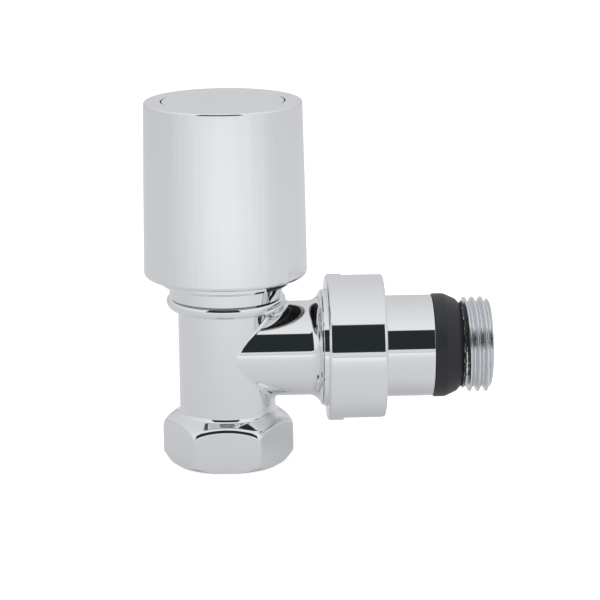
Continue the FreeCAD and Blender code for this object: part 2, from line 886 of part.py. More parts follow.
def hub_screw():
    """Slotted cheese-head screw that holds the hub on the spindle."""
    body = new_body("hub_screw")
    under_head = SEAT_TOP + S.hub_washer_thickness
    head_top = under_head + S.hub_screw_head_height
    tip = S.spindle_top - S.hub_screw_length + S.hub_screw_tip_gap
    turned(body, "Screw", [
        (0, tip),
        (S.hub_screw_radius, tip),
        (S.hub_screw_radius, under_head),
        (S.hub_screw_head_radius, under_head),
        (S.hub_screw_head_radius, head_top - S.small_bevel),
        (S.hub_screw_head_radius - S.small_bevel, head_top),
        (0, head_top),
    ])
    half = S.hub_screw_slot / 2
    reach = S.hub_screw_head_radius + CLEAR
    sunk(body, "Slot", rectangle(-reach, reach, -half, half), head_top,
         S.hub_screw_head_height / 2)
    return body


def union_nut():
    """Round nut with two shallow spanner flats and an inner shoulder for the collar of the tail."""
    body = new_body("union_nut")
    shoulder = S.nut_end - S.nut_shoulder
    shoulder_bore = S.tail_radius + S.free_gap
    turned(body, "Barrel", [
        (NUT_BORE, S.nut_foot),
        (S.nut_radius, S.nut_foot),
        (S.nut_radius, S.nut_end),
        (shoulder_bore, S.nut_end),
        (shoulder_bore, shoulder),
        (NUT_BORE, shoulder),
    ])
    eased(body, "FootRound", rims(body, [(S.nut_radius, S.nut_foot)]), S.nut_foot_round)
    eased(body, "EndRound", rims(body, [(S.nut_radius, S.nut_end)]), S.nut_end_round)
    clear = S.nut_radius + CLEAR
    flat = sunk(body, "Flat", rectangle(S.nut_flat_distance, clear, -clear, clear),
                S.nut_end + CLEAR, S.nut_end + CLEAR - S.nut_flat_foot)
    repeated(body, "Flats", flat, 2)
    lay_along_branch(body)
    turn = Rotation(Vector(1, 0, 0), -SIZES["nut_flat_turn"])
    body.Placement.Rotation = turn.multiply(body.Placement.Rotation)
    return body


def tail_piece():
    """Tail: spigot, collar, smooth barrel, neck for the rubber seal, thread and hexagon key bore."""
    body = new_body("tail_piece")
    spigot = S.union_socket_radius - S.running_gap
    groove_foot = S.branch_end - S.running_gap - S.union_ring_land - S.union_ring_groove
    groove = S.union_socket_radius - S.running_gap / 2 - S.union_ring_section * 2
    face = S.branch_end + S.running_gap
    collar_end = S.nut_end - S.nut_shoulder - S.running_gap
    lead = S.tail_thread_lead
    turned(body, "Tail", [
        (S.tail_bore_radius, S.tail_spigot_foot),
        (spigot - S.small_bevel, S.tail_spigot_foot),
        (spigot, S.tail_spigot_foot + S.small_bevel),
        (spigot, groove_foot),
        (groove, groove_foot),
        (groove, groove_foot + S.union_ring_groove),
        (spigot, groove_foot + S.union_ring_groove),
        (spigot, face),
        (S.tail_collar_radius, face),
        (S.tail_collar_radius, collar_end),
        (S.tail_radius, collar_end),
        (S.tail_radius, S.tail_shoulder),
        (S.tail_neck_radius, S.tail_shoulder),
        (S.tail_neck_radius, S.tail_thread_foot),
        (S.tail_thread_radius, S.tail_thread_foot + lead),
        (S.tail_thread_radius, S.tail_end - lead),
        (S.tail_thread_radius - lead, S.tail_end),
        (S.tail_bore_radius, S.tail_end),
    ])
    sunk(body, "KeySocket", hexagon(S.tail_key_across_flats), S.tail_end, S.tail_key_depth)
    lay_along_branch(body)
    return body


def tail_seal():
    """Black rubber seal: short cylinder, then a rounded cone towards the thread."""
    body = new_body("tail_seal")
    land_end = S.tail_shoulder + S.seal_land
    cone_end = land_end + S.seal_cone_length
    bore = S.tail_neck_radius + S.press_gap / 2
    turned(body, "Seal", [
        (bore, S.tail_shoulder),
        (S.seal_radius, S.tail_shoulder),
        (S.seal_radius, land_end),
        (S.seal_cone_radius, cone_end),
        (S.seal_nose_radius, S.tail_thread_foot),
        (bore, S.tail_thread_foot),
    ])
    eased(body, "HeelRound", rims(body, [(S.seal_radius, S.tail_shoulder)]), S.seal_heel_round)
    eased(body, "LandRound", rims(body, [(S.seal_radius, land_end)]), S.seal_land_round)
    eased(body, "NoseRound", rims(body, [(S.seal_cone_radius, cone_end)]), S.seal_nose_round)
    lay_along_branch(body)
    return body


def union_ring():
    """O-ring in the groove of the tail's spigot."""
    centre = S.union_socket_radius - S.running_gap / 2 - S.union_ring_section
    height = S.branch_end - S.running_gap - S.union_ring_land - S.union_ring_groove / 2
    ring = doc.addObject("Part::Torus", "union_o_ring")
    ring.Label = "union_o_ring"
    bind(ring, "Radius1", centre)
    bind(ring, "Radius2", S.union_ring_section)
    ring.Placement = Placement(Vector(0, 0, 0), Rotation(Vector(0, 1, 0), 90))
    bind(ring, "Placement.Base.x", height)
    bind(ring, "Placement.Base.z", S.branch_height)
    return ring


pieces = [
    valve_body(),
    bonnet(),
    bonnet_ring(),
    spindle(),
    *spindle_rings(),
    gland_bush(),
    circlip(),
    thrust_washer(),
    disc_carrier(),
    disc_washer(),
    washer_screw(),
    handwheel_cap(),
    cap_disc(),
    handwheel_hub(),
    hub_washer(),
    hub_screw(),
    union_nut(),
    tail_piece(),
    tail_seal(),
    union_ring(),
]
doc.recompute()

for thing in doc.Objects:
    if "Invalid" in thing.State or "Error" in thing.State:
        raise RuntimeError("%s didn't recompute: %s" % (thing.Label, thing.State))
for piece in pieces:
    if piece.Shape.isNull() or not piece.Shape.isValid():
        raise RuntimeError("%s has no valid shape" % piece.Label)

os.makedirs("parts", exist_ok=True)
for piece in pieces:
    piece.Shape.exportStep("parts/%s.step" % piece.Label)
    print("%-22s %10.2f mm3  %d solid" % (piece.Label, piece.Shape.Volume, len(piece.Shape.Solids)))
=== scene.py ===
"""Looks of the angled radiator valve: chrome shells, threads, rubber seal, light and camera.

Sizes are millimetres and angles radians where nothing else is said.
"""

import logging
import math
from dataclasses import dataclass
from enum import Enum
from typing import Callable, ClassVar, Optional, Protocol, Sequence

import bmesh
import bpy
import numpy as np
from mathutils import Matrix, Vector

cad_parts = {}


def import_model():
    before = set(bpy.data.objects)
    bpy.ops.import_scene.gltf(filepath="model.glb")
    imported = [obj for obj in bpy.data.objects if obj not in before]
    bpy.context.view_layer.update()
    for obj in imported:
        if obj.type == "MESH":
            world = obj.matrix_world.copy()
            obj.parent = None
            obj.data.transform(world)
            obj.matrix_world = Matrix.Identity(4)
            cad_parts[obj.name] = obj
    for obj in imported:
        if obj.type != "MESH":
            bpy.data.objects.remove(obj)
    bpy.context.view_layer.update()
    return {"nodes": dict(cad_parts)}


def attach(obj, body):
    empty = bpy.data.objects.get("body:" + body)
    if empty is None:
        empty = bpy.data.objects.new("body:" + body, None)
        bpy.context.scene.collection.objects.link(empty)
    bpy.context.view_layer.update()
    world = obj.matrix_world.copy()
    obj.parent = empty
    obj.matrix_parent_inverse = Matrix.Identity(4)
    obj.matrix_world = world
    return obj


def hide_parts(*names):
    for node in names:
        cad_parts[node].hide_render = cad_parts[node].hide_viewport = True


log = logging.getLogger("valve")

# Metres in a millimetre, where the sizes go, and the height of the branch's axis.
MM = 0.001
BRANCH_HEIGHT = 24.7

# Steps round a turned piece, a thread and the cap, and the longest steps of outlines.
AROUND = 224
THREAD_AROUND = 288
CAP_AROUND = 288
CAP_PITCH = 2.0
ARC_STEP = math.radians(7)

# The half inch pipe thread: its pitch and its radii.
PIPE_PITCH = 1.814
PIPE_MAJOR = 10.4775
PIPE_MINOR = 9.3155

# Lengths that count as none, and the least divisor.
NEAR = 1e-6
TOUCH = 1e-9
TINY = 1e-12
UP = np.array([0.0, 0.0, 1.0])

# A ring for Shell.sweep, a colour, and a choice of faces by their centres and normals.
Row = tuple[np.ndarray, np.ndarray, np.ndarray]
Colour = tuple[float, float, float]
Pick = Callable[[np.ndarray, np.ndarray], np.ndarray]


class Lie(Enum):
    """How a turned piece lies in the row frame."""

    UPRIGHT = "upright"
    ALONG_BRANCH = "along the branch"

    def matrix(self) -> Matrix:
        """Placement of a piece whose own axis is Z.

        Returns:
            The matrix from the piece's millimetres to the row frame's metres.
        """
        scale = Matrix.Scale(MM, 4)
        if self is Lie.UPRIGHT:
            return scale
        cycle = Matrix(((0, 0, 1, 0), (1, 0, 0, 0), (0, 1, 0, BRANCH_HEIGHT), (0, 0, 0, 1)))
        return scale @ cycle


@dataclass(frozen=True)
class Span:
    """One smooth edge of an outline in (radius, height).

    A straight edge has no centre. A curved one has a centre, and `way` tells whether its normals
    point away from it.
    """

    start: np.ndarray
    end: np.ndarray
    centre: Optional[np.ndarray] = None
    way: float = 1.0

    def normals(self, points: np.ndarray) -> np.ndarray:
        """Outward normals at points of the edge.

        Args:
            points: An (n, 2) array.

        Returns:
            An (n, 2) array of unit vectors.
        """
        if self.centre is None:
            run = self.end - self.start
            normal = np.array([run[1], -run[0]]) / np.hypot(*run)
            return np.tile(normal, (len(points), 1))
        away = (points - self.centre) * self.way
        return away / np.maximum(np.hypot(away[:, 0], away[:, 1]), TINY)[:, None]

    def samples(self, pitch: float) -> np.ndarray:
        """Points from the edge's start to its end.

        Args:
            pitch: Longest straight step.

        Returns:
            An (n, 2) array.
        """
        if self.centre is None:
            steps = max(1, math.ceil(np.hypot(*(self.end - self.start)) / pitch))
            share = np.linspace(0, 1, steps + 1)[:, None]
            return self.start + (self.end - self.start) * share
        first = math.atan2(*(self.start - self.centre)[::-1])
        last = math.atan2(*(self.end - self.centre)[::-1])
        turn = (last - first + math.pi) % (2 * math.pi) - math.pi
        angles = first + turn * np.linspace(0, 1, max(3, math.ceil(abs(turn) / ARC_STEP)) + 1)
        radius = np.hypot(*(self.start - self.centre))
        points = self.centre + radius * np.stack([np.cos(angles), np.sin(angles)], 1)
        points[0], points[-1] = self.start, self.end
        return points

    def signed_distance(
        self, points: np.ndarray
    ) -> tuple[np.ndarray, np.ndarray, np.ndarray]:
        """Distance from points to the edge, and the side they lie on.

        Args:
            points: An (n, 2) array.

        Returns:
            The plain distances, the part of each that lies along the edge's normal, and the way
            from the edge to each point as a unit vector.
        """
        if self.centre is None:
            run = self.end - self.start
            share = np.clip(((points - self.start) @ run) / (run @ run), 0, 1)
            nearest = self.start + share[:, None] * run
        else:
            away = points - self.centre
            radius = np.hypot(*(self.start - self.centre))
            length = np.maximum(np.hypot(away[:, 0], away[:, 1]), TINY)
            nearest = self.centre + away / length[:, None] * radius
            middle = self.samples(math.inf)
            middle = middle[len(middle) // 2] - self.centre
            half = np.arccos(np.clip((self.start - self.centre) @ middle / radius**2, -1, 1))
            beyond = (away @ middle) / (length * radius) < math.cos(half)
            to_start = np.hypot(*(points - self.start).T)
            to_end = np.hypot(*(points - self.end).T)
            tips = np.where((to_start < to_end)[:, None], self.start, self.end)
            nearest = np.where(beyond[:, None], tips, nearest)
        gap = points - nearest
        normals = self.normals(nearest)
        side = np.einsum("ij,ij->i", gap, normals)
        length = np.hypot(gap[:, 0], gap[:, 1])
        touching = (length < NEAR)[:, None]
        way = np.where(touching, normals, gap / np.maximum(length, TINY)[:, None])
        return length, side, way


class Outline:
    """Closed outline in (radius, height), anticlockwise, so that its outside is on the right."""

    def __init__(self) -> None:
        """Starts with no corner."""
        self._corners: list[tuple[float, float, float, float]] = []

    def to(
        self, radius: float, height: float, ease: float = 0.0, bend: float = 0.0
    ) -> "Outline":
        """Adds a corner.

        Args:
            radius: Distance from the axis.
            height: Place along the axis.
            ease: Rounding radius of the corner, between straight edges.
            bend: Radius of the edge that starts here, negative where it curves inwards.

        Returns:
            The outline itself.
        """
        self._corners.append((radius, height, ease, bend))
        return self

    def spans(self) -> list[Span]:
        """Works out the outline's smooth edges.

        Returns:
            The edges in order; one that lies on the axis is left out.
        """
        points = [np.array(corner[:2], float) for corner in self._corners]
        count = len(points)
        trims = []
        for index, corner in enumerate(self._corners):
            before = points[index] - points[index - 1]
            after = points[(index + 1) % count] - points[index]
            before, after = before / np.hypot(*before), after / np.hypot(*after)
            turn = math.acos(max(-1.0, min(1.0, float(before @ after))))
            trims.append((corner[2] * math.tan(turn / 2), before, after))
        result = []
        for index, corner in enumerate(self._corners):
            ease, bend = corner[2], corner[3]
            trim, before, after = trims[index]
            here, following = points[index], points[(index + 1) % count]
            if ease:
                start, end = here - before * trim, here + after * trim
                left = before[0] * after[1] - before[1] * after[0] > 0
                across = np.array([-before[1], before[0]]) * (1 if left else -1)
                result.append(Span(start, end, start + across * ease, 1.0 if left else -1.0))
            begin = here + after * trim
            finish = following - after * trims[(index + 1) % count][0]
            if bend:
                chord = following - here
                half = np.hypot(*chord) / 2
                left = np.array([-chord[1], chord[0]]) / (2 * half)
                drop = math.sqrt(max(bend * bend - half * half, 0.0))
                way = math.copysign(1.0, bend)
                centre = (here + following) / 2 + left * drop * way
                result.append(Span(here, following, centre, way))
            elif np.hypot(*(finish - begin)) > TOUCH:
                result.append(Span(begin, finish))
        return [span for span in result if max(span.start[0], span.end[0]) > TOUCH]

    def distance(self, points: np.ndarray) -> tuple[np.ndarray, np.ndarray, np.ndarray]:
        """Signed distance to the outline, which edge is nearest, and the slope of the distance.

        Args:
            points: An (n, 2) array.

        Returns:
            The distances, positive outside, the index of the nearest edge, and unit vectors.
        """
        best = np.full(len(points), np.inf)
        side = np.zeros(len(points))
        which = np.zeros(len(points), int)
        slope = np.zeros((len(points), 2))
        for index, span in enumerate(self.spans()):
            distance, along, way = span.signed_distance(points)
            closer = distance < best - TOUCH
            level = (np.abs(distance - best) <= TOUCH) & (np.abs(along) > np.abs(side))
            take = closer | level
            best = np.where(take, distance, best)
            side = np.where(take, along, side)
            which = np.where(take, index, which)
            towards = np.where(distance < NEAR, 1.0, np.sign(along))[:, None]
            slope = np.where(take[:, None], way * towards, slope)
        return np.copysign(best, side), which, slope


def radial(angles: np.ndarray) -> np.ndarray:
    """Unit vectors away from the axis, at angles about it."""
    return np.stack([np.cos(angles), np.sin(angles), 0 * angles], 1)


class Shell:
    """A mesh under construction: rings of vertices, faces between them, and a normal per corner."""

    def __init__(self) -> None:
        """Starts empty."""
        self._points: list[np.ndarray] = []
        self._faces: list[np.ndarray] = []
        self._normals: list[np.ndarray] = []
        self._count = 0

    def ring(self, points: np.ndarray) -> np.ndarray:
        """Adds a closed ring of vertices.

        Args:
            points: An (n, 3) array, or (1, 3) for a point on the axis.

        Returns:
            The vertex numbers.
        """
        numbers = np.arange(self._count, self._count + len(points))
        self._points.append(points)
        self._count += len(points)
        return numbers

    def strip(
        self, lower: np.ndarray, upper: np.ndarray, below: np.ndarray, above: np.ndarray
    ) -> None:
        """Adds the faces between two rings.

        Args:
            lower: Vertex numbers of one ring.
            upper: Vertex numbers of the next ring.
            below: Normals at the first ring, (n, 3).
            above: Normals at the next ring, (n, 3).
        """
        count = max(len(lower), len(upper))
        step = np.arange(count)
        following = (step + 1) % count
        if len(lower) == 1:
            faces = np.stack([lower[step * 0], upper[following], upper[step]], 1)
            normals = np.stack([(above[step] + above[following]) / 2, above[following], above[step]], 1)
        elif len(upper) == 1:
            faces = np.stack([lower[step], lower[following], upper[step * 0]], 1)
            normals = np.stack([below[step], below[following], (below[step] + below[following]) / 2], 1)
        else:
            faces = np.stack([lower[step], lower[following], upper[following], upper[step]], 1)
            normals = np.stack([below[step], below[following], above[following], above[step]], 1)
        points = np.concatenate(self._points)
        first = points[faces[:, 1]] - points[faces[:, 0]]
        second = points[faces[:, 2]] - points[faces[:, 0]]
        last = points[faces[:, -1]] - points[faces[:, 0]]
        turned = np.cross(first, second) + np.cross(second, last)
        keep = np.linalg.norm(turned, axis=1) > TOUCH
        faces, normals, turned = faces[keep], normals[keep], turned[keep]
        if np.einsum("ij,ij->", turned, normals.mean(1)) < 0:
            faces, normals = faces[:, ::-1], normals[:, ::-1]
        self._faces.append(faces)
        self._normals.append(normals)

    def sweep(self, rows: Sequence[Row]) -> None:
        """Adds a closed run of rings.

        Args:
            rows: For each ring its points, the normals of the surface that ends there and the
                normals of the surface that starts there. The last ring joins the first.
        """
        rings = [self.ring(row[0]) for row in rows]
        for index, row in enumerate(rows):
            following = (index + 1) % len(rows)
            self.strip(rings[index], rings[following], row[2], rows[following][1])

    def turn(self, outline: Outline, pitch: float = 1.5, around: int = AROUND) -> None:
        """Adds an outline turned a full circle about Z.

        Args:
            outline: The outline to turn.
            pitch: Longest step along a straight edge.
            around: Number of steps round the circle.
        """
        angles = np.linspace(0, 2 * math.pi, around, endpoint=False)
        direction = radial(angles)
        spans = outline.spans()
        made: dict[tuple[float, float], np.ndarray] = {}

        def ring_at(point: np.ndarray) -> np.ndarray:
            """Finds the ring at an outline point, and adds it the first time.

            Args:
                point: Radius and height.

            Returns:
                The ring's vertex numbers.
            """
            key = (round(float(point[0]), 7), round(float(point[1]), 7))
            if key not in made:
                places = direction * point[0] + UP * point[1]
                made[key] = self.ring(places if point[0] > NEAR else places[:1])
            return made[key]

        for span in spans:
            points = span.samples(pitch)
            normals = span.normals(points)
            for index in range(len(points) - 1):
                below = direction * normals[index][0] + UP * normals[index][1]
                above = direction * normals[index + 1][0] + UP * normals[index + 1][1]
                self.strip(ring_at(points[index]), ring_at(points[index + 1]), below, above)

    def add(self, points: np.ndarray, faces: np.ndarray, normals: np.ndarray) -> None:
        """Adds ready faces.

        Args:
            points: An (n, 3) array.
            faces: An (m, 3) array of numbers into it.
            normals: An (m, 3, 3) array.
        """
        self._faces.append(faces + self._count)
        self._normals.append(normals)
        self.ring(points)

    def mesh(self, name: str) -> bpy.types.Mesh:
        """Makes the mesh in millimetres.

        Args:
            name: Its name.

        Returns:
            The mesh, with its own normals.
        """
        mesh = bpy.data.meshes.new(name)
        faces = [face for block in self._faces for face in block.tolist()]
        mesh.from_pydata(np.concatenate(self._points).tolist(), [], faces)
        mesh.polygons.foreach_set("use_smooth", [True] * len(mesh.polygons))
        corners = np.concatenate([block.reshape(-1, 3) for block in self._normals])
        corners /= np.maximum(np.linalg.norm(corners, axis=1), TINY)[:, None]
        mesh.normals_split_custom_set(corners.tolist())
        return mesh

    def build(self, name: str, lie: Lie) -> bpy.types.Object:
        """Makes the object in the row frame.

        Args:
            name: Its name.
            lie: How it lies.

        Returns:
            The object, in metres, with its place in its vertices.
        """
        mesh = self.mesh(name)
        mesh.transform(lie.matrix())
        built = bpy.data.objects.new(name, mesh)
        bpy.context.scene.collection.objects.link(built)
        return built


@dataclass(frozen=True)
class Thread:
    """A pipe thread with rounded crests and roots, as a radius over angle and height."""

    crest: float
    root: float
    pitch: float = PIPE_PITCH
    phase: float = 0.0
    root_land: float = 0.14
    flank: float = 0.72
    softness: float = 0.28

    def radius(self, angle: np.ndarray, height: np.ndarray) -> np.ndarray:
        """Radius of the thread.

        Args:
            angle: Angles about the axis.
            height: Heights along it.

        Returns:
            The radii.
        """
        turns = height / self.pitch - angle / (2 * math.pi) + self.phase
        wave = np.abs((turns % 1.0) * 2 - 1)
        soft = np.clip((wave - self.root_land) / self.flank, 0, 1)
        soft = soft * (1 - self.softness) + self.softness * soft * soft * (3 - 2 * soft)
        return self.root + (self.crest - self.root) * soft


def surface_rows(
    radius: Callable[[np.ndarray, np.ndarray], np.ndarray],
    angles: np.ndarray,
    heights: np.ndarray,
    outward: float,
) -> list[Row]:
    """Rings of a surface that is a radius over angle and height.

    Args:
        radius: The radius at angles and heights.
        angles: Angles of the vertices.
        heights: Heights of the rings.
        outward: 1 for an outside surface, -1 for the wall of a hole.

    Returns:
        Rows for Shell.sweep.
    """
    reach, sway = 0.02, 0.002
    rows = []
    for height in heights:
        level = np.full_like(angles, height)
        here = radius(angles, level)
        slope = (radius(angles, level + reach) - radius(angles, level - reach)) / (2 * reach)
        swing = (radius(angles + sway, level) - radius(angles - sway, level)) / (2 * sway)
        cos, sin = np.cos(angles), np.sin(angles)
        points = np.stack([here * cos, here * sin, level], 1)
        normal = np.stack([cos + swing / here * sin, sin - swing / here * cos, -slope], 1)
        normal *= outward / np.linalg.norm(normal, axis=1)[:, None]
        rows.append((points, normal, normal))
    return rows


def ring_row(
    angles: np.ndarray,
    radius: np.ndarray,
    height: np.ndarray,
    ends: Sequence[float],
    starts: Sequence[float],
) -> Row:
    """One ring with plain (radial, axial) normals.

    Args:
        angles: Angles of the vertices.
        radius: Radius, plain or per vertex.
        height: Height, plain or per vertex.
        ends: Normal (radial, axial) of the surface that ends at the ring.
        starts: Normal (radial, axial) of the surface that starts there.

    Returns:
        A row for Shell.sweep.
    """
    out = radial(angles)
    radius = np.broadcast_to(radius, angles.shape)
    height = np.broadcast_to(height, angles.shape)
    points = out * radius[:, None] + UP * height[:, None]
    return points, out * ends[0] + UP * ends[1], out * starts[0] + UP * starts[1]


def skin_row(points: np.ndarray, rise: np.ndarray) -> Row:
    """One ring whose normals are square to its run and to the rise of the surface.

    Args:
        points: An (n, 3) array.
        rise: Ways in which the surface rises, (n, 3).

    Returns:
        A row for Shell.sweep.
    """
    along = np.roll(points, -1, 0) - np.roll(points, 1, 0)
    normal = np.cross(along, rise)
    normal /= np.linalg.norm(normal, axis=1)[:, None]
    return points, normal, normal


def between_flats(rows: list[Row], before: np.ndarray, after: np.ndarray) -> list[Row]:
    """Rows of a surface that lies between two flat faces.

    Args:
        rows: The surface's own rows.
        before: Normals of the flat face before it, (n, 3).
        after: Normals of the flat face after it, (n, 3).

    Returns:
        Rows for Shell.sweep.
    """
    first, last = rows[0], rows[-1]
    return [(first[0], before, first[2]), *rows[1:-1], (last[0], last[1], after)]


@dataclass(frozen=True)
class RoundedHexagon:
    """A hexagon with eased corners, as points round it."""

    across_flats: float
    ease: float
    flat_steps: int = 22
    corner_steps: int = 8

    def perimeter(self) -> tuple[np.ndarray, np.ndarray]:
        """Points and outward normals round the hexagon, anticlockwise.

        Returns:
            Two (n, 2) arrays.
        """
        centre = (self.across_flats / 2 - self.ease) / math.cos(math.pi / 6)
        points, normals = [], []
        for corner in range(6):
            middle = corner * math.pi / 3
            for step in range(self.corner_steps + 1):
                angle = middle + (step / self.corner_steps - 0.5) * math.pi / 3
                normal = np.array([math.cos(angle), math.sin(angle)])
                hub = centre * np.array([math.cos(middle), math.sin(middle)])
                points.append(hub + self.ease * normal)
                normals.append(normal)
            next_middle = middle + math.pi / 3
            next_hub = centre * np.array([math.cos(next_middle), math.sin(next_middle)])
            start, end = points[-1], next_hub + self.ease * normals[-1]
            for step in range(1, self.flat_steps):
                points.append(start + (end - start) * step / self.flat_steps)
                normals.append(normals[-1])
        return np.array(points), np.array(normals)


class NodeGroups:
    """Shader node groups that the finishes share, each built once."""

    _made: ClassVar[dict[str, bpy.types.NodeTree]] = {}

    @classmethod
    def _start(
        cls, name: str, inputs: Sequence[tuple[str, float]], outputs: Sequence[tuple[str, str]]
    ) -> tuple[bpy.types.NodeTree, bpy.types.Node, bpy.types.Node]:
        """Starts a group.

        Args:
            name: Its name.
            inputs: Names and defaults of its number inputs.
            outputs: Names and socket types of its outputs.

        Returns:
            The tree, its input node and its output node.
        """
        tree = bpy.data.node_groups.new(name, "ShaderNodeTree")
        for label, default in inputs:
            socket = tree.interface.new_socket(label, in_out="INPUT", socket_type="NodeSocketFloat")
            socket.default_value = default
        for label, kind in outputs:
            tree.interface.new_socket(label, in_out="OUTPUT", socket_type=kind)
        return tree, tree.nodes.new("NodeGroupInput"), tree.nodes.new("NodeGroupOutput")

    @classmethod
    def surface_grain(cls) -> bpy.types.NodeTree:
        """Faint waves and grain of a polished or moulded skin, as a normal.

        Returns:
            The group: scales, heights and the waves' stretch in; Normal out.
        """
        if "surface_grain" in cls._made:
            return cls._made["surface_grain"]
        tree, start, end = cls._start(
            "surface_grain",
            (
                ("Wave Scale", 90.0),
                ("Wave Height", 0.02),
                ("Wave Stretch", 1.0),
                ("Grain Scale", 4000.0),
                ("Grain Height", 0.01),
            ),
            (("Normal", "NodeSocketVector"),),
        )
        place = tree.nodes.new("ShaderNodeTexCoord")
        waves = tree.nodes.new("ShaderNodeTexNoise")
        waves.inputs["Detail"].default_value = 1.5
        grain = tree.nodes.new("ShaderNodeTexNoise")
        grain.inputs["Detail"].default_value = 2.0
        along = tree.nodes.new("ShaderNodeCombineXYZ")
        along.inputs["X"].default_value = along.inputs["Y"].default_value = 1.0
        drawn = tree.nodes.new("ShaderNodeVectorMath")
        drawn.operation = "MULTIPLY"
        tree.links.new(start.outputs["Wave Stretch"], along.inputs["Z"])
        tree.links.new(place.outputs["Object"], drawn.inputs[0])
        tree.links.new(along.outputs["Vector"], drawn.inputs[1])
        tree.links.new(drawn.outputs["Vector"], waves.inputs["Vector"])
        tree.links.new(place.outputs["Object"], grain.inputs["Vector"])
        tree.links.new(start.outputs["Wave Scale"], waves.inputs["Scale"])
        tree.links.new(start.outputs["Grain Scale"], grain.inputs["Scale"])
        first = tree.nodes.new("ShaderNodeBump")
        first.inputs["Distance"].default_value = MM
        second = tree.nodes.new("ShaderNodeBump")
        second.inputs["Distance"].default_value = MM / 10
        tree.links.new(waves.outputs["Fac"], first.inputs["Height"])
        tree.links.new(start.outputs["Wave Height"], first.inputs["Strength"])
        tree.links.new(grain.outputs["Fac"], second.inputs["Height"])
        tree.links.new(start.outputs["Grain Height"], second.inputs["Strength"])
        tree.links.new(first.outputs["Normal"], second.inputs["Normal"])
        tree.links.new(second.outputs["Normal"], end.inputs["Normal"])
        cls._made["surface_grain"] = tree
        return tree


class Maths:
    """Short hand for number nodes in one node tree."""

    def __init__(self, tree: bpy.types.NodeTree) -> None:
        """Keeps the tree.

        Args:
            tree: Receives the nodes.
        """
        self.tree = tree

    def run(self, operation: str, *values: bpy.types.NodeSocket | float) -> bpy.types.NodeSocket:
        """Adds one math node.

        Args:
            operation: What it works out.
            values: Its inputs, as sockets or numbers.

        Returns:
            Its output.
        """
        node = self.tree.nodes.new("ShaderNodeMath")
        node.operation = operation
        for socket, value in zip(node.inputs, values):
            if isinstance(value, bpy.types.NodeSocket):
                self.tree.links.new(value, socket)
            else:
                socket.default_value = value
        return node.outputs[0]

    def ease(self, value: bpy.types.NodeSocket, low: float, high: float) -> bpy.types.NodeSocket:
        """Adds a smooth step from 0 at low to 1 at high.

        Args:
            value: What is compared.
            low: Foot of the step.
            high: Top of the step.

        Returns:
            The step's output.
        """
        node = self.tree.nodes.new("ShaderNodeMapRange")
        node.interpolation_type = "SMOOTHSTEP"
        self.tree.links.new(value, node.inputs["Value"])
        node.inputs["From Min"].default_value = low
        node.inputs["From Max"].default_value = high
        return node.outputs["Result"]


@dataclass(frozen=True)
class Finish:
    """A procedural material on the Principled shader."""

    _made: ClassVar[dict[str, bpy.types.Material]] = {}

    name: str
    colour: Colour
    roughness: float
    metallic: float = 0.0
    specular: float = 0.5
    wave_scale: float = 90.0
    wave_height: float = 0.0
    wave_stretch: float = 1.0
    grain_scale: float = 4000.0
    grain_height: float = 0.0

    def build(self) -> bpy.types.Material:
        """Builds the material, the first time it is asked for.

        Returns:
            The material.
        """
        if self.name in self._made:
            return self._made[self.name]
        material = self._made[self.name] = bpy.data.materials.new(self.name)
        material.use_nodes = True
        tree = material.node_tree
        shader = next(node for node in tree.nodes if node.type == "BSDF_PRINCIPLED")
        shader.inputs["Base Color"].default_value = (*self.colour, 1.0)
        shader.inputs["Metallic"].default_value = self.metallic
        shader.inputs["Specular IOR Level"].default_value = self.specular
        shader.inputs["Roughness"].default_value = self.roughness
        if self.wave_height or self.grain_height:
            skin = tree.nodes.new("ShaderNodeGroup")
            skin.node_tree = NodeGroups.surface_grain()
            for label, value in (
                ("Wave Scale", self.wave_scale),
                ("Wave Height", self.wave_height),
                ("Wave Stretch", self.wave_stretch),
                ("Grain Scale", self.grain_scale),
                ("Grain Height", self.grain_height),
            ):
                skin.inputs[label].default_value = value
            tree.links.new(skin.outputs["Normal"], shader.inputs["Normal"])
        return material


BRIGHT_CHROME = Finish("bright_chrome", (0.852, 0.862, 0.876), 0.035, metallic=1.0)
CAP_CHROME = Finish(
    "cap_chrome",
    (0.852, 0.86, 0.87),
    0.1,
    metallic=1.0,
    wave_scale=420.0,
    wave_height=0.24,
    wave_stretch=0.03,
)
DISC_CHROME = Finish("disc_chrome", (0.852, 0.86, 0.87), 0.1, metallic=1.0)
THREAD_CHROME = Finish(
    "thread_chrome", (0.76, 0.775, 0.8), 0.12, metallic=1.0, grain_scale=6000.0, grain_height=0.35
)
TURNED_BRASS = Finish("turned_brass", (0.75, 0.55, 0.26), 0.28, metallic=1.0)
ZINC_STEEL = Finish("zinc_steel", (0.62, 0.62, 0.61), 0.3, metallic=1.0)
WHITE_NYLON = Finish("white_nylon", (0.86, 0.86, 0.83), 0.42)
RIM_METAL = Finish("rim_metal", (0.4, 0.4, 0.36), 0.25, metallic=1.0)
# Black moulding, also painted over the hub's side towards the branch as shade.
BLACK_PLASTIC_AND_SHADE = Finish("black_plastic_and_shade", (0.012, 0.012, 0.012), 0.45, specular=0.3)
# Light grey painted on the hub's lip in front as light, where the same moulding is black towards the
# branch.
LIP_PAINTED_LIGHT = Finish("lip_painted_light", (0.62, 0.63, 0.65), 0.4)
# Dark grey painted as shade in the hub's recess under the cap's rim.
RECESS_PAINTED_SHADE = Finish("recess_painted_shade", (0.14, 0.14, 0.13), 0.45, specular=0.3)
RING_RUBBER = Finish("ring_rubber", (0.02, 0.02, 0.021), 0.4)
SEAL_RUBBER = Finish(
    "seal_rubber", (0.024, 0.025, 0.027), 0.42, specular=0.35, grain_scale=9000.0, grain_height=0.3
)


def paint(piece: bpy.types.Object, finish: Finish) -> None:
    """Gives a piece one finish.

    Args:
        piece: The object.
        finish: What covers all of it.
    """
    piece.data.materials.clear()
    piece.data.materials.append(finish.build())


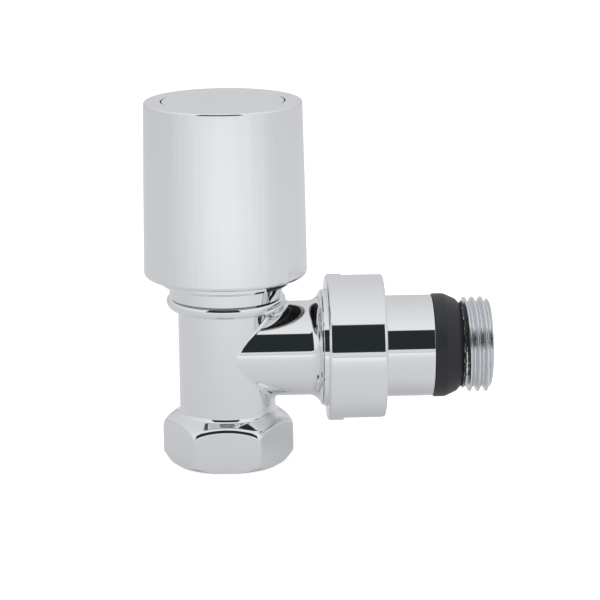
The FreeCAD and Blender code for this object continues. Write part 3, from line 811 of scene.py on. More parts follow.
def paint_faces(piece: bpy.types.Object, finish: Finish, pick: Pick) -> None:
    """Gives some faces of a piece another finish.

    Args:
        piece: The object, already painted once.
        finish: What covers those faces.
        pick: Tells, from face centres in millimetres and face normals, which faces they are.
    """
    count = len(piece.data.polygons)
    centres, normals = np.empty(count * 3), np.empty(count * 3)
    piece.data.polygons.foreach_get("center", centres)
    piece.data.polygons.foreach_get("normal", normals)
    place = np.array(piece.matrix_world)
    centres = centres.reshape(-1, 3) @ place[:3, :3].T + place[:3, 3]
    normals = normals.reshape(-1, 3) @ place[:3, :3].T
    piece.data.materials.append(finish.build())
    slots = np.empty(count, np.int32)
    piece.data.polygons.foreach_get("material_index", slots)
    slots[pick(centres / MM, normals)] = len(piece.data.materials) - 1
    piece.data.polygons.foreach_set("material_index", slots)


class Piece(Protocol):
    """What a class offers that stands in for a CAD node."""

    def build(self) -> bpy.types.Object:
        """Builds the piece."""

    def dress(self, piece: bpy.types.Object) -> None:
        """Gives the built piece its finishes."""


@dataclass(frozen=True)
class ValveBody:
    """Forged body: hexagonal inlet boss, tube, collar, neck, flared branch and union thread."""

    boss_across_flats: float = 25.2
    boss_edge_height: float = 8.6
    boss_top: float = 11.15
    boss_foot: float = 12.76
    boss_foot_slope: float = 0.88
    boss_turn: float = math.radians(-2.5)
    boss_corner: float = 1.1
    boss_edge: float = 1.65
    boss_corner_edge: float = 2.7
    boss_root: float = 1.2
    boss_foot_edge: float = 1.2
    boss_foot_round: float = 0.2
    foot_margin: float = 0.06
    foot_edge_share: float = 1.2
    corner_fade: int = 4
    root_steps: int = 8
    tube: float = 10.55
    tube_sunk: float = 0.5
    bead: float = 13.02
    bead_section: float = 1.15
    bead_under: float = 1.7
    bead_height: float = 36.05
    neck: float = 12.35
    neck_top: float = 43.0
    neck_ease: float = 0.2
    branch: float = 10.4
    flare: float = 2.9
    crest: float = 12.62
    crest_end: float = 20.5
    land: float = 12.82
    land_start: float = 20.82
    land_end: float = 22.3
    land_chamfer: float = 0.12
    land_ease: float = 0.15
    land_run: float = 0.6
    valley_depth: float = 0.3
    valley_lip: float = 0.1
    branch_end: float = 30.5
    branch_chamfer: float = 0.8
    union_thread: float = 12.6
    union_depth: float = 1.0
    union_run_in: float = 1.6
    union_rings: int = 90
    sleeve_bore: float = 9.0
    sleeve_gap: float = 0.1
    core_inset: float = 0.1
    core_gap: float = 0.06
    blend: float = 0.9
    blend_mesh: float = 0.16
    blend_margin: float = 0.15
    blend_rounds: int = 5
    blend_passes: int = 4
    least_slope: float = 0.2
    lean_range: tuple[float, float] = (-0.9, 0.9999)
    probe_share: float = 0.2
    chamber_radius: float = 8.8
    chamber_foot: float = 8.0
    floor_radius: float = 8.75
    floor_height: float = 16.0
    face_radius: float = 6.9
    face_top: float = 17.0
    face_bore: float = 5.5
    face_foot: float = 13.8
    inlet_bore: float = 7.0
    inlet_depth: float = 10.0
    inlet_mouth: float = 10.9
    inlet_lead: float = 1.1
    inlet_run_out: float = 1.2
    inlet_rings: int = 92
    bonnet_seat: float = 35.0
    bonnet_thread: float = 9.75
    bonnet_thread_top: float = 41.4
    neck_mouth: float = 10.9
    port_start: float = 5.0
    port: float = 7.2
    tail_socket: float = 8.9
    tail_socket_depth: float = 3.9
    skin_pitch: float = 0.5
    hollow_pitch: float = 4.0

    def upright(self) -> Outline:
        """Outside of the tube, collar and neck.

        Returns:
            The outline.
        """
        centre = self.bead - self.bead_section
        rise = math.sqrt(self.bead_section**2 - (self.neck - centre) ** 2)
        foot = self.boss_top - self.tube_sunk
        return (
            Outline()
            .to(0, foot)
            .to(self.tube, foot)
            .to(self.tube, self.bead_height - self.bead_under)
            .to(self.bead - self.bead_under, self.bead_height - self.bead_under, bend=self.bead_under)
            .to(self.bead, self.bead_height, bend=self.bead_section)
            .to(self.neck, self.bead_height + rise)
            .to(self.neck, self.neck_top, ease=self.neck_ease)
            .to(0, self.neck_top)
        )

    def lying(self) -> Outline:
        """Outside of the branch, with the core of its thread.

        Returns:
            The outline.
        """
        drop = self.flare - (self.crest - self.branch)
        start = self.crest_end - math.sqrt(self.flare**2 - drop**2)
        core = self.union_thread - self.union_depth - self.core_inset
        valley = self.crest - self.valley_depth
        core_end = self.branch_end - self.core_gap
        return (
            Outline()
            .to(0, 0)
            .to(self.branch, 0)
            .to(self.branch, start, bend=-self.flare)
            .to(self.crest, self.crest_end)
            .to(self.crest, self.crest_end + self.valley_lip)
            .to(valley, self.land_start - self.valley_lip)
            .to(self.land - self.land_chamfer, self.land_start)
            .to(self.land, self.land_start + self.land_chamfer)
            .to(self.land, self.land_end, ease=self.land_ease)
            .to(core, self.land_end + self.land_run)
            .to(core, core_end)
            .to(0, core_end)
        )

    def chamber(self) -> Outline:
        """Hollow of the tube with the seat of the bonnet.

        Returns:
            The outline.
        """
        return (
            Outline()
            .to(0, self.chamber_foot)
            .to(self.chamber_radius, self.chamber_foot)
            .to(self.chamber_radius, self.bonnet_seat)
            .to(self.bonnet_thread, self.bonnet_seat)
            .to(self.bonnet_thread, self.bonnet_thread_top)
            .to(self.neck_mouth, self.bonnet_thread_top)
            .to(self.neck_mouth, self.neck_top + 1)
            .to(0, self.neck_top + 1)
        )

    def bore(self) -> Outline:
        """Hollow of the branch with the socket of the tail.

        Returns:
            The outline.
        """
        socket_floor = self.branch_end - self.tail_socket_depth
        return (
            Outline()
            .to(0, self.port_start)
            .to(self.port, self.port_start)
            .to(self.port, socket_floor)
            .to(self.tail_socket, socket_floor)
            .to(self.tail_socket, self.branch_end + 1)
            .to(0, self.branch_end + 1)
        )

    def _carved(self) -> bpy.types.Mesh:
        """Joins the outsides and cuts the hollows.

        Returns:
            The mesh in the row frame's millimetres, as triangles.
        """
        parts = []
        for outline, lie, pitch in (
            (self.upright(), Lie.UPRIGHT, self.skin_pitch),
            (self.lying(), Lie.ALONG_BRANCH, self.skin_pitch),
            (self.chamber(), Lie.UPRIGHT, self.hollow_pitch),
            (self.bore(), Lie.ALONG_BRANCH, self.hollow_pitch),
        ):
            shell = Shell()
            shell.turn(outline, pitch)
            part = shell.build("carving", lie)
            part.data.transform(Matrix.Scale(1 / MM, 4))
            parts.append(part)
        base = parts[0]
        for tool, operation in zip(parts[1:], ("UNION", "DIFFERENCE", "DIFFERENCE")):
            change = base.modifiers.new(operation, "BOOLEAN")
            change.operation = operation
            change.object = tool
            change.solver = "EXACT"
        bpy.context.view_layer.update()
        shape = base.evaluated_get(bpy.context.evaluated_depsgraph_get())
        mesh = bpy.data.meshes.new_from_object(shape)
        for part in parts:
            bpy.data.objects.remove(part)
        return mesh

    def _field(self, points: np.ndarray, extra: float = 0.0) -> tuple[np.ndarray, np.ndarray]:
        """The joined outside as a field that is zero on the skin.

        Where the branch meets the upright, a ball that touches both is rolled along the crease.

        Args:
            points: An (n, 3) array in millimetres.
            extra: Added to the radius of the ball.

        Returns:
            The field, and a mask of the points in the reach of the ball.
        """
        x, y, z = points.T
        rise = z - BRANCH_HEIGHT
        turn, reach = np.maximum(np.hypot(x, y), TOUCH), np.maximum(np.hypot(y, rise), TOUCH)
        upright, _, first = self.upright().distance(np.stack([turn, z], 1))
        lying, _, second = self.lying().distance(np.stack([reach, x], 1))
        first = np.stack([x / turn * first[:, 0], y / turn * first[:, 0], first[:, 1]], 1)
        second = np.stack([second[:, 1], y / reach * second[:, 0], rise / reach * second[:, 0]], 1)
        lean = np.clip(np.einsum("ij,ij->i", first, second), *self.lean_range)
        ball = self.blend + extra
        one, other = ball - upright, ball - lying
        square = np.maximum(one**2 + other**2 - 2 * one * other * lean, 0) / (1 - lean**2)
        held = (one > other * lean) & (other > one * lean) & (one > 0) & (other > 0) & (x > 0)
        return np.where(held, ball - np.sqrt(square), np.minimum(upright, lying)), held

    def _slope(self, points: np.ndarray) -> np.ndarray:
        """Gradient of the field.

        Args:
            points: An (n, 3) array in millimetres.

        Returns:
            An (n, 3) array.
        """
        reach = 0.01
        columns = []
        for axis in np.eye(3):
            ahead = self._field(points + axis * reach)[0]
            behind = self._field(points - axis * reach)[0]
            columns.append((ahead - behind) / (2 * reach))
        return np.stack(columns, 1)

    def _refine(self, mesh: bpy.types.Mesh) -> None:
        """Divides long edges where the branch blends into the tube.

        Args:
            mesh: The carved mesh.
        """
        work = bmesh.new()
        work.from_mesh(mesh)
        bmesh.ops.triangulate(work, faces=work.faces)
        for _ in range(self.blend_rounds):
            edges = list(work.edges)
            ends = np.array([(*edge.verts[0].co, *edge.verts[1].co) for edge in edges])
            lengths = np.linalg.norm(ends[:, 3:] - ends[:, :3], axis=1)
            near = self._field((ends[:, :3] + ends[:, 3:]) / 2, self.blend_margin)[1]
            long = [edges[index] for index in np.flatnonzero(near & (lengths > self.blend_mesh))]
            bmesh.ops.subdivide_edges(work, edges=long, cuts=1)
            bmesh.ops.triangulate(work, faces=[face for face in work.faces if len(face.verts) > 3])
        work.to_mesh(mesh)
        work.free()

    def _normals(self, points: np.ndarray, faces: np.ndarray) -> np.ndarray:
        """Normals at each corner of the carved mesh, from the outlines it was turned from.

        Args:
            points: An (n, 3) array.
            faces: An (m, 3) array of vertex numbers.

        Returns:
            An (m, 3, 3) array.
        """
        corners = points[faces]
        share = self.probe_share
        inner = corners * (1 - share) + corners.mean(1, keepdims=True) * share
        flat, probe = corners.reshape(-1, 3), inner.reshape(-1, 3)
        best = np.full(len(flat), np.inf)
        result = np.zeros_like(flat)
        for outline, lying, way in (
            (self.upright(), False, 1.0),
            (self.lying(), True, 1.0),
            (self.chamber(), False, -1.0),
            (self.bore(), True, -1.0),
        ):
            def split(places: np.ndarray) -> tuple[np.ndarray, np.ndarray, np.ndarray]:
                """Splits places into radius, place along the axis and way from the axis.

                Args:
                    places: An (n, 3) array.

                Returns:
                    Radii, places along the axis, and (n, 3) vectors from the axis.
                """
                shifted = places - np.array([0, 0, BRANCH_HEIGHT if lying else 0])
                along = shifted[:, 0] if lying else shifted[:, 2]
                across = shifted * (np.array([0, 1, 1]) if lying else np.array([1, 1, 0]))
                return np.linalg.norm(across, axis=1), along, across

            radius, along, _ = split(probe)
            distance, which, _ = outline.distance(np.stack([radius, along], 1))
            at_radius, at_along, across = split(flat)
            plane = np.stack([at_radius, at_along], 1)
            axis = np.array([1.0, 0, 0]) if lying else np.array([0, 0, 1.0])
            out = across / np.maximum(at_radius, TOUCH)[:, None]
            for index, span in enumerate(outline.spans()):
                take = (which == index) & (np.abs(distance) < best)
                normal = span.normals(plane[take]) * way
                result[take] = out[take] * normal[:, :1] + axis * normal[:, 1:]
            best = np.minimum(best, np.abs(distance))
        return result.reshape(-1, 3, 3)

    def forging(self, shell: Shell) -> None:
        """Adds tube, collar, neck and branch, blended where they meet.

        Args:
            shell: Receives the faces.
        """
        mesh = self._carved()
        self._refine(mesh)
        points = np.array([vertex.co for vertex in mesh.vertices], float)
        faces = np.array([tuple(polygon.vertices) for polygon in mesh.polygons])
        bpy.data.meshes.remove(mesh)
        normals = self._normals(points, faces)
        value, moved = self._field(points)
        moved &= value > -self.blend
        zone = points[moved]
        for _ in range(self.blend_passes):
            value = self._field(zone)[0]
            slope = self._slope(zone)
            steep = np.maximum((slope**2).sum(1), self.least_slope)
            zone = zone - slope * (value / steep)[:, None]
        points[moved] = zone
        slope = self._slope(zone)
        slope /= np.linalg.norm(slope, axis=1)[:, None]
        blended = np.zeros_like(points)
        blended[moved] = slope
        inside = moved[faces]
        normals[inside] = blended[faces][inside]
        shell.add(points, faces, normals)

    def _boss_profile(self, reach: np.ndarray) -> list[tuple[np.ndarray, np.ndarray, float]]:
        """Profile of the boss's outside, from its foot to the tube.

        Args:
            reach: Distance of the hexagon from the axis, per vertex.

        Returns:
            For each ring its radii, its heights and the angle of its normals.
        """
        corner = self.boss_across_flats / math.sqrt(3)
        slope = (self.boss_top - self.boss_edge_height) / (corner - self.tube)
        tip = math.atan2(1, slope)
        profile: list[tuple[np.ndarray, np.ndarray, float]] = []

        def arc(
            radius: np.ndarray, height: np.ndarray, ease: np.ndarray, first: float, last: float
        ) -> None:
            """Adds a rounding to the profile.

            Args:
                radius: Radius of the rounding's centre, per vertex.
                height: Height of the rounding's centre, per vertex.
                ease: Rounding radius, per vertex.
                first: Angle of its first normal, from the radial way.
                last: Angle of its last normal.
            """
            for angle in np.linspace(first, last, max(4, math.ceil(abs(last - first) / ARC_STEP))):
                wide = radius + ease * math.cos(angle)
                profile.append((wide, height + ease * math.sin(angle), angle))

        foot_tip = math.atan2(1, self.boss_foot_slope)
        foot = np.minimum(self.boss_foot, reach - self.foot_margin)
        trimmed = (reach - foot) * self.boss_foot_slope
        ease = np.minimum(self.boss_foot_edge, trimmed * self.foot_edge_share)
        low = self.boss_foot_round + 0 * reach
        inset = self.boss_foot_round * math.tan((math.pi / 2 - foot_tip) / 2)
        arc(foot - inset, low, low, -math.pi / 2, -foot_tip)
        arc(reach - ease, trimmed + ease * math.tan(foot_tip / 2), ease, -foot_tip, 0.0)
        edge = self.boss_top - slope * (reach - self.tube)
        cornered = ((reach - reach.min()) / (reach.max() - reach.min())) ** self.corner_fade
        ease = self.boss_edge + (self.boss_corner_edge - self.boss_edge) * cornered
        arc(reach - ease, edge - ease * (1 - math.cos(tip)) / math.sin(tip), ease, 0.0, tip)
        root_rise = self.boss_root * math.tan(tip / 2)
        for angle in np.linspace(tip, 0.0, self.root_steps):
            wide = self.tube + self.boss_root * (1 - math.cos(angle)) + 0 * reach
            high = self.boss_top + root_rise - self.boss_root * math.sin(angle) + 0 * reach
            profile.append((wide, high, angle))
        return profile

    def _inlet_rows(self, angles: np.ndarray) -> list[Row]:
        """Rings of the valve face and of the threaded inlet under it.

        Args:
            angles: Angles of the vertices.

        Returns:
            Rows for Shell.sweep.
        """
        plain = (
            (self.floor_radius, self.boss_top, (0, 1), (1, 0)),
            (self.floor_radius, self.floor_height, (1, 0), (0, 1)),
            (self.face_radius, self.floor_height, (0, 1), (1, 0)),
            (self.face_radius, self.face_top, (1, 0), (0, 1)),
            (self.face_bore, self.face_top, (0, 1), (-1, 0)),
            (self.face_bore, self.face_foot, (-1, 0), (0, -1)),
            (self.inlet_bore, self.face_foot, (0, -1), (-1, 0)),
            (self.inlet_bore, self.inlet_depth, (-1, 0), (0, -1)),
        )
        rows = [ring_row(angles, *ring) for ring in plain]
        thread = Thread(crest=PIPE_MINOR, root=PIPE_MAJOR)

        def wall(angle: np.ndarray, height: np.ndarray) -> np.ndarray:
            """Radius of the threaded wall.

            Args:
                angle: Angles about the axis.
                height: Heights along it.

            Returns:
                The radii.
            """
            lead = self.inlet_mouth - self.inlet_lead * height
            fade = np.clip((self.inlet_depth - height) / self.inlet_run_out, 0, 1)
            cut = PIPE_MINOR + (thread.radius(angle, height) - PIPE_MINOR) * fade
            return np.maximum(cut, lead)

        heights = np.linspace(self.inlet_depth, 0.0, self.inlet_rings)
        down = np.tile(-UP, (len(angles), 1))
        return rows + between_flats(surface_rows(wall, angles, heights, -1), down, down)

    def boss(self, shell: Shell) -> None:
        """Adds the hexagonal boss with its inlet thread and the valve face.

        Args:
            shell: Receives the faces.
        """
        hexagon, _ = RoundedHexagon(self.boss_across_flats, self.boss_corner).perimeter()
        angles = np.arctan2(hexagon[:, 1], hexagon[:, 0]) + self.boss_turn
        out = radial(angles)
        top = np.tile(UP, (len(angles), 1))
        outer = []
        for wide, high, angle in self._boss_profile(np.hypot(*hexagon.T)):
            points = out * wide[:, None] + UP * high[:, None]
            outer.append(skin_row(points, UP * math.cos(angle) - out * math.sin(angle)))
        shell.sweep(between_flats(outer, -top, top) + self._inlet_rows(angles))

    def union_sleeve(self, shell: Shell) -> None:
        """Adds the helical union thread at the end of the branch.

        Args:
            shell: Receives the faces, along Z in millimetres.
        """
        angles = np.linspace(0, 2 * math.pi, THREAD_AROUND, endpoint=False)
        thread = Thread(crest=self.union_thread, root=self.union_thread - self.union_depth)
        start, end = self.land_end + self.sleeve_gap, self.branch_end

        def wall(angle: np.ndarray, height: np.ndarray) -> np.ndarray:
            """Radius of the threaded wall.

            Args:
                angle: Angles about the axis.
                height: Heights along it.

            Returns:
                The radii.
            """
            lead = self.union_thread - self.branch_chamfer - (height - end)
            fade = np.clip((height - start) / self.union_run_in, 0, 1)
            cut = self.union_thread - (self.union_thread - thread.radius(angle, height)) * fade
            return np.minimum(cut, lead)

        outer = surface_rows(wall, angles, np.linspace(start, end, self.union_rings), 1)
        top = np.tile(UP, (len(angles), 1))
        rows = between_flats(outer, -top, top)
        rows.append(ring_row(angles, self.sleeve_bore, end, (0, 1), (-1, 0)))
        rows.append(ring_row(angles, self.sleeve_bore, start, (-1, 0), (0, -1)))
        shell.sweep(rows)

    def build(self) -> bpy.types.Object:
        """Builds the body.

        Returns:
            The piece.
        """
        shell = Shell()
        self.forging(shell)
        self.boss(shell)
        sleeve = Shell()
        self.union_sleeve(sleeve)
        body = shell.build("forged_body", Lie.UPRIGHT)
        thread = sleeve.build("sleeve", Lie.ALONG_BRANCH)
        return joined(body, thread)

    def dress(self, piece: bpy.types.Object) -> None:
        """Plates the body."""
        paint(piece, BRIGHT_CHROME)


def joined(first: bpy.types.Object, second: bpy.types.Object) -> bpy.types.Object:
    """Joins two objects into the first.

    Args:
        first: Stays.
        second: Goes into it.

    Returns:
        The first object.
    """
    with bpy.context.temp_override(
        active_object=first, selected_editable_objects=[first, second]
    ):
        bpy.ops.object.join()
    return first


@dataclass(frozen=True)
class HandwheelCap:
    """Tall tapered shell that is gripped and turned."""

    foot: float = 41.85
    top: float = 80.0
    foot_radius: float = 17.78
    middle: float = 63.5
    middle_radius: float = 17.44
    top_radius: float = 17.07
    wall: float = 1.3
    recess: float = 13.42
    seat: float = 78.2
    ledge: float = 76.4
    ledge_radius: float = 11.3
    rim_ease: float = 0.15
    foot_ease: float = 0.9
    belly: float = 600.0
    crest_ease: float = 0.62
    plated_from: float = 42.02
    rim_top: float = 42.3
    rim_facing: float = -0.93
    head_from: float = 78.0
    head_facing: float = 0.2

    def build(self) -> bpy.types.Object:
        """Builds the cap.

        Returns:
            The piece.
        """
        taper = (self.foot_radius - self.top_radius) / (self.top - self.foot)
        inside = self.foot_radius - self.wall
        ledge_inside = inside - taper * (self.ledge - self.foot)
        outline = (
            Outline()
            .to(inside, self.foot, ease=self.rim_ease)
            .to(self.foot_radius, self.foot, ease=self.foot_ease)
            .to(self.middle_radius, self.middle, ease=self.belly)
            .to(self.top_radius, self.top, ease=self.crest_ease)
            .to(self.recess, self.top, ease=self.rim_ease)
            .to(self.recess, self.seat)
            .to(self.ledge_radius, self.seat)
            .to(self.ledge_radius, self.ledge)
            .to(ledge_inside, self.ledge)
        )
        shell = Shell()
        shell.turn(outline, CAP_PITCH, CAP_AROUND)
        return shell.build("cap_shell", Lie.UPRIGHT)

    def unplated(self, centres: np.ndarray, normals: np.ndarray) -> np.ndarray:
        """Finds the unplated faces: the inner wall and the rim of the foot.

        Args:
            centres: Face centres in millimetres.
            normals: Face normals.

        Returns:
            A mask.
        """
        height = centres[:, 2]
        inward = (centres * normals)[:, :2].sum(1) < 0
        rim = (height < self.rim_top) & (normals[:, 2] < self.rim_facing)
        return (inward & (height < self.head_from)) | rim | (height < self.plated_from)

    def head(self, centres: np.ndarray, normals: np.ndarray) -> np.ndarray:
        """Finds the flat ring on top.

        Args:
            centres: Face centres in millimetres.
            normals: Face normals.

        Returns:
            A mask.
        """
        return (centres[:, 2] > self.head_from) & (normals[:, 2] > self.head_facing)

    def dress(self, piece: bpy.types.Object) -> None:
        """Plates the shell, with a bare inside and a smoother ring on top.

        Args:
            piece: The built shell.
        """
        paint(piece, CAP_CHROME)
        paint_faces(piece, RIM_METAL, self.unplated)
        paint_faces(piece, DISC_CHROME, self.head)


@dataclass(frozen=True)
class CapDisc:
    """Round disc that snaps into the top of the cap."""

    radius: float = 13.2
    top: float = 80.0
    foot: float = 78.2
    edge_ease: float = 0.2

    def build(self) -> bpy.types.Object:
        """Builds the disc.

        Returns:
            The piece.
        """
        outline = (
            Outline()
            .to(0, self.foot)
            .to(self.radius, self.foot)
            .to(self.radius, self.top, ease=self.edge_ease)
            .to(0, self.top)
        )
        shell = Shell()
        shell.turn(outline, CAP_PITCH, CAP_AROUND)
        return shell.build("cap_top_disc", Lie.UPRIGHT)

    def dress(self, piece: bpy.types.Object) -> None:
        """Plates the disc."""
        paint(piece, DISC_CHROME)


@dataclass(frozen=True)
class UnionNut:
    """Round nut with two shallow spanner flats."""

    foot: float = 21.8
    end: float = 34.35
    radius: float = 16.12
    flat: float = 15.62
    flat_foot: float = 25.2
    turn: float = math.radians(17.5)
    foot_ease: float = 0.7
    end_ease: float = 0.75
    bore: float = 12.9
    shoulder: float = 33.05
    shoulder_bore: float = 11.35
    steps_per_radian: float = 45.0
    least_steps: int = 8
    foot_steps: int = 8
    end_steps: int = 9

    def build(self) -> bpy.types.Object:
        """Builds the nut.

        Returns:
            The piece.
        """
        edge = math.acos(self.flat / self.radius)
        marks = [0.0, edge, math.pi - edge, math.pi, math.pi + edge, 2 * math.pi - edge, 2 * math.pi]
        runs = []
        for start, stop in zip(marks, marks[1:]):
            steps = max(self.least_steps, round((stop - start) * self.steps_per_radian))
            runs.append(np.linspace(start, stop, steps, endpoint=False))
        angles = np.concatenate(runs)
        turned = angles + math.pi / 2 - self.turn
        cos = np.abs(np.cos(angles))
        local = np.minimum(self.radius, self.flat / np.maximum(cos, NEAR))
        on_flat = cos > math.cos(edge) + TOUCH
        facing = math.pi / 2 - self.turn
        out = radial(turned)
        across = np.sign(np.cos(angles))[:, None] * np.array([math.cos(facing), math.sin(facing), 0])
        side = np.where(on_flat[:, None], across, out)
        rows = []

        def place(radius: np.ndarray, height: float) -> np.ndarray:
            """Points of a ring of the nut, at one height."""
            return out * np.broadcast_to(radius, turned.shape)[:, None] + UP * height

        rows.append(ring_row(turned, self.bore, self.foot, (-1, 0), (0, -1)))
        for angle in np.linspace(0, math.pi / 2, self.foot_steps):
            normal = out * math.sin(angle) - UP * math.cos(angle)
            radius = self.radius - self.foot_ease * (1 - math.sin(angle))
            height = self.foot + self.foot_ease * (1 - math.cos(angle))
            rows.append((place(radius, height), normal, normal))
        ledge = np.tile(UP, (len(turned), 1))
        rows.append((place(self.radius, self.flat_foot), out, ledge))
        rows.append((place(local, self.flat_foot), ledge, side))
        for angle in np.linspace(0, math.pi / 2, self.end_steps):
            normal = side * math.cos(angle) + UP * math.sin(angle)
            radius = local - self.end_ease * (1 - math.cos(angle))
            height = self.end - self.end_ease * (1 - math.sin(angle))
            rows.append((place(radius, height), normal, normal))
        plain = (
            (self.shoulder_bore, self.end, (0, 1), (-1, 0)),
            (self.shoulder_bore, self.shoulder, (-1, 0), (0, -1)),
            (self.bore, self.shoulder, (0, -1), (-1, 0)),
        )
        rows.extend(ring_row(turned, *ring) for ring in plain)
        shell = Shell()
        shell.sweep(rows)
        return shell.build("round_union_nut", Lie.ALONG_BRANCH)

    def dress(self, piece: bpy.types.Object) -> None:
        """Plates the nut."""
        paint(piece, BRIGHT_CHROME)


@dataclass(frozen=True)
class TailPiece:
    """Chrome tail: spigot, collar, barrel, neck for the seal, thread and hexagon key bore."""

    spigot_foot: float = 27.0
    spigot: float = 8.82
    groove: float = 7.46
    groove_foot: float = 28.02
    groove_top: float = 29.92
    face: float = 30.58
    collar: float = 12.5
    collar_end: float = 32.97
    barrel: float = 11.13
    shoulder: float = 45.15
    neck: float = 8.4
    thread_foot: float = 51.5
    end: float = 57.8
    thread_phase: float = 0.35
    run_in: float = 0.7
    end_drop: float = 0.9
    end_slope: float = 1.25
    bore: float = 5.6
    key: float = 12.0
    key_ease: float = 0.25
    key_mouth: float = 0.35
    key_depth: float = 11.0
    spigot_chamfer: float = 0.4
    shoulder_chamfer: float = 0.25
    thread_rings: int = 84
    matt_from: float = 51.4
    end_facing: float = 0.99

    def build(self) -> bpy.types.Object:
        """Builds the tail.

        Returns:
            The piece.
        """
        hexagon, sides = RoundedHexagon(
            self.key, self.key_ease, flat_steps=36, corner_steps=6
        ).perimeter()
        angles = np.arctan2(hexagon[:, 1], hexagon[:, 0])
        reach = np.hypot(*hexagon.T)
        side = np.concatenate([-sides, 0 * sides[:, :1]], 1)
        out = radial(angles)
        top = np.tile(UP, (len(angles), 1))
        thread = Thread(PIPE_MAJOR, PIPE_MINOR, phase=self.thread_phase)
        foot, end, chamfer = self.thread_foot, self.end, self.spigot_chamfer

        def wall(angle: np.ndarray, height: np.ndarray) -> np.ndarray:
            """Radius of the threaded wall.

            Args:
                angle: Angles about the axis.
                height: Heights along it.

            Returns:
                The radii.
            """
            lead = PIPE_MAJOR - self.end_drop - (height - end) * self.end_slope
            fade = np.clip((height - foot) / self.run_in, 0, 1)
            return np.minimum(PIPE_MINOR + (thread.radius(angle, height) - PIPE_MINOR) * fade, lead)

        slanted = (0.7, -0.7)
        plain = (
            (self.bore, self.spigot_foot, (-1, 0), (0, -1)),
            (self.spigot - chamfer, self.spigot_foot, (0, -1), slanted),
            (self.spigot, self.spigot_foot + chamfer, slanted, (1, 0)),
            (self.spigot, self.groove_foot, (1, 0), (0, 1)),
            (self.groove, self.groove_foot, (0, 1), (1, 0)),
            (self.groove, self.groove_top, (1, 0), (0, -1)),
            (self.spigot, self.groove_top, (0, -1), (1, 0)),
            (self.spigot, self.face, (1, 0), (0, -1)),
            (self.collar, self.face, (0, -1), (1, 0)),
            (self.collar, self.collar_end, (1, 0), (0, 1)),
            (self.barrel, self.collar_end, (0, 1), (1, 0)),
            (self.barrel, self.shoulder - self.shoulder_chamfer, (1, 0), (1, 0)),
            (self.barrel - self.shoulder_chamfer, self.shoulder, (0, 1), (0, 1)),
            (self.neck, self.shoulder, (0, 1), (1, 0)),
            (self.neck, foot, (1, 0), (0, -1)),
        )
        rows = [ring_row(angles, *ring) for ring in plain]
        outer = surface_rows(wall, angles, np.linspace(foot, end, self.thread_rings), 1)
        rows.extend(between_flats(outer, -top, top))
        bevel = (side + UP) / math.sqrt(2)
        points = out * (reach + self.key_mouth)[:, None] + UP * end
        rows.append((points, top, bevel))
        points = out * reach[:, None] + UP * (end - self.key_mouth)
        rows.append((points, bevel, side))
        points = out * reach[:, None] + UP * (end - self.key_depth)
        rows.append((points, side, top))
        rows.append(ring_row(angles, self.bore, end - self.key_depth, (0, 1), (-1, 0)))
        shell = Shell()
        shell.sweep(rows)
        return shell.build("threaded_tail", Lie.ALONG_BRANCH)

    def threaded(self, centres: np.ndarray, normals: np.ndarray) -> np.ndarray:
        """Finds the faces of the thread and of the key's hole, without the flat end.

        Args:
            centres: Face centres in millimetres.
            normals: Face normals.

        Returns:
            A mask.
        """
        return (centres[:, 0] > self.matt_from) & (np.abs(normals[:, 0]) < self.end_facing)

    def dress(self, piece: bpy.types.Object) -> None:
        """Plates the tail, duller on its thread.

        Args:
            piece: The built tail.
        """
        paint(piece, BRIGHT_CHROME)
        paint_faces(piece, THREAD_CHROME, self.threaded)


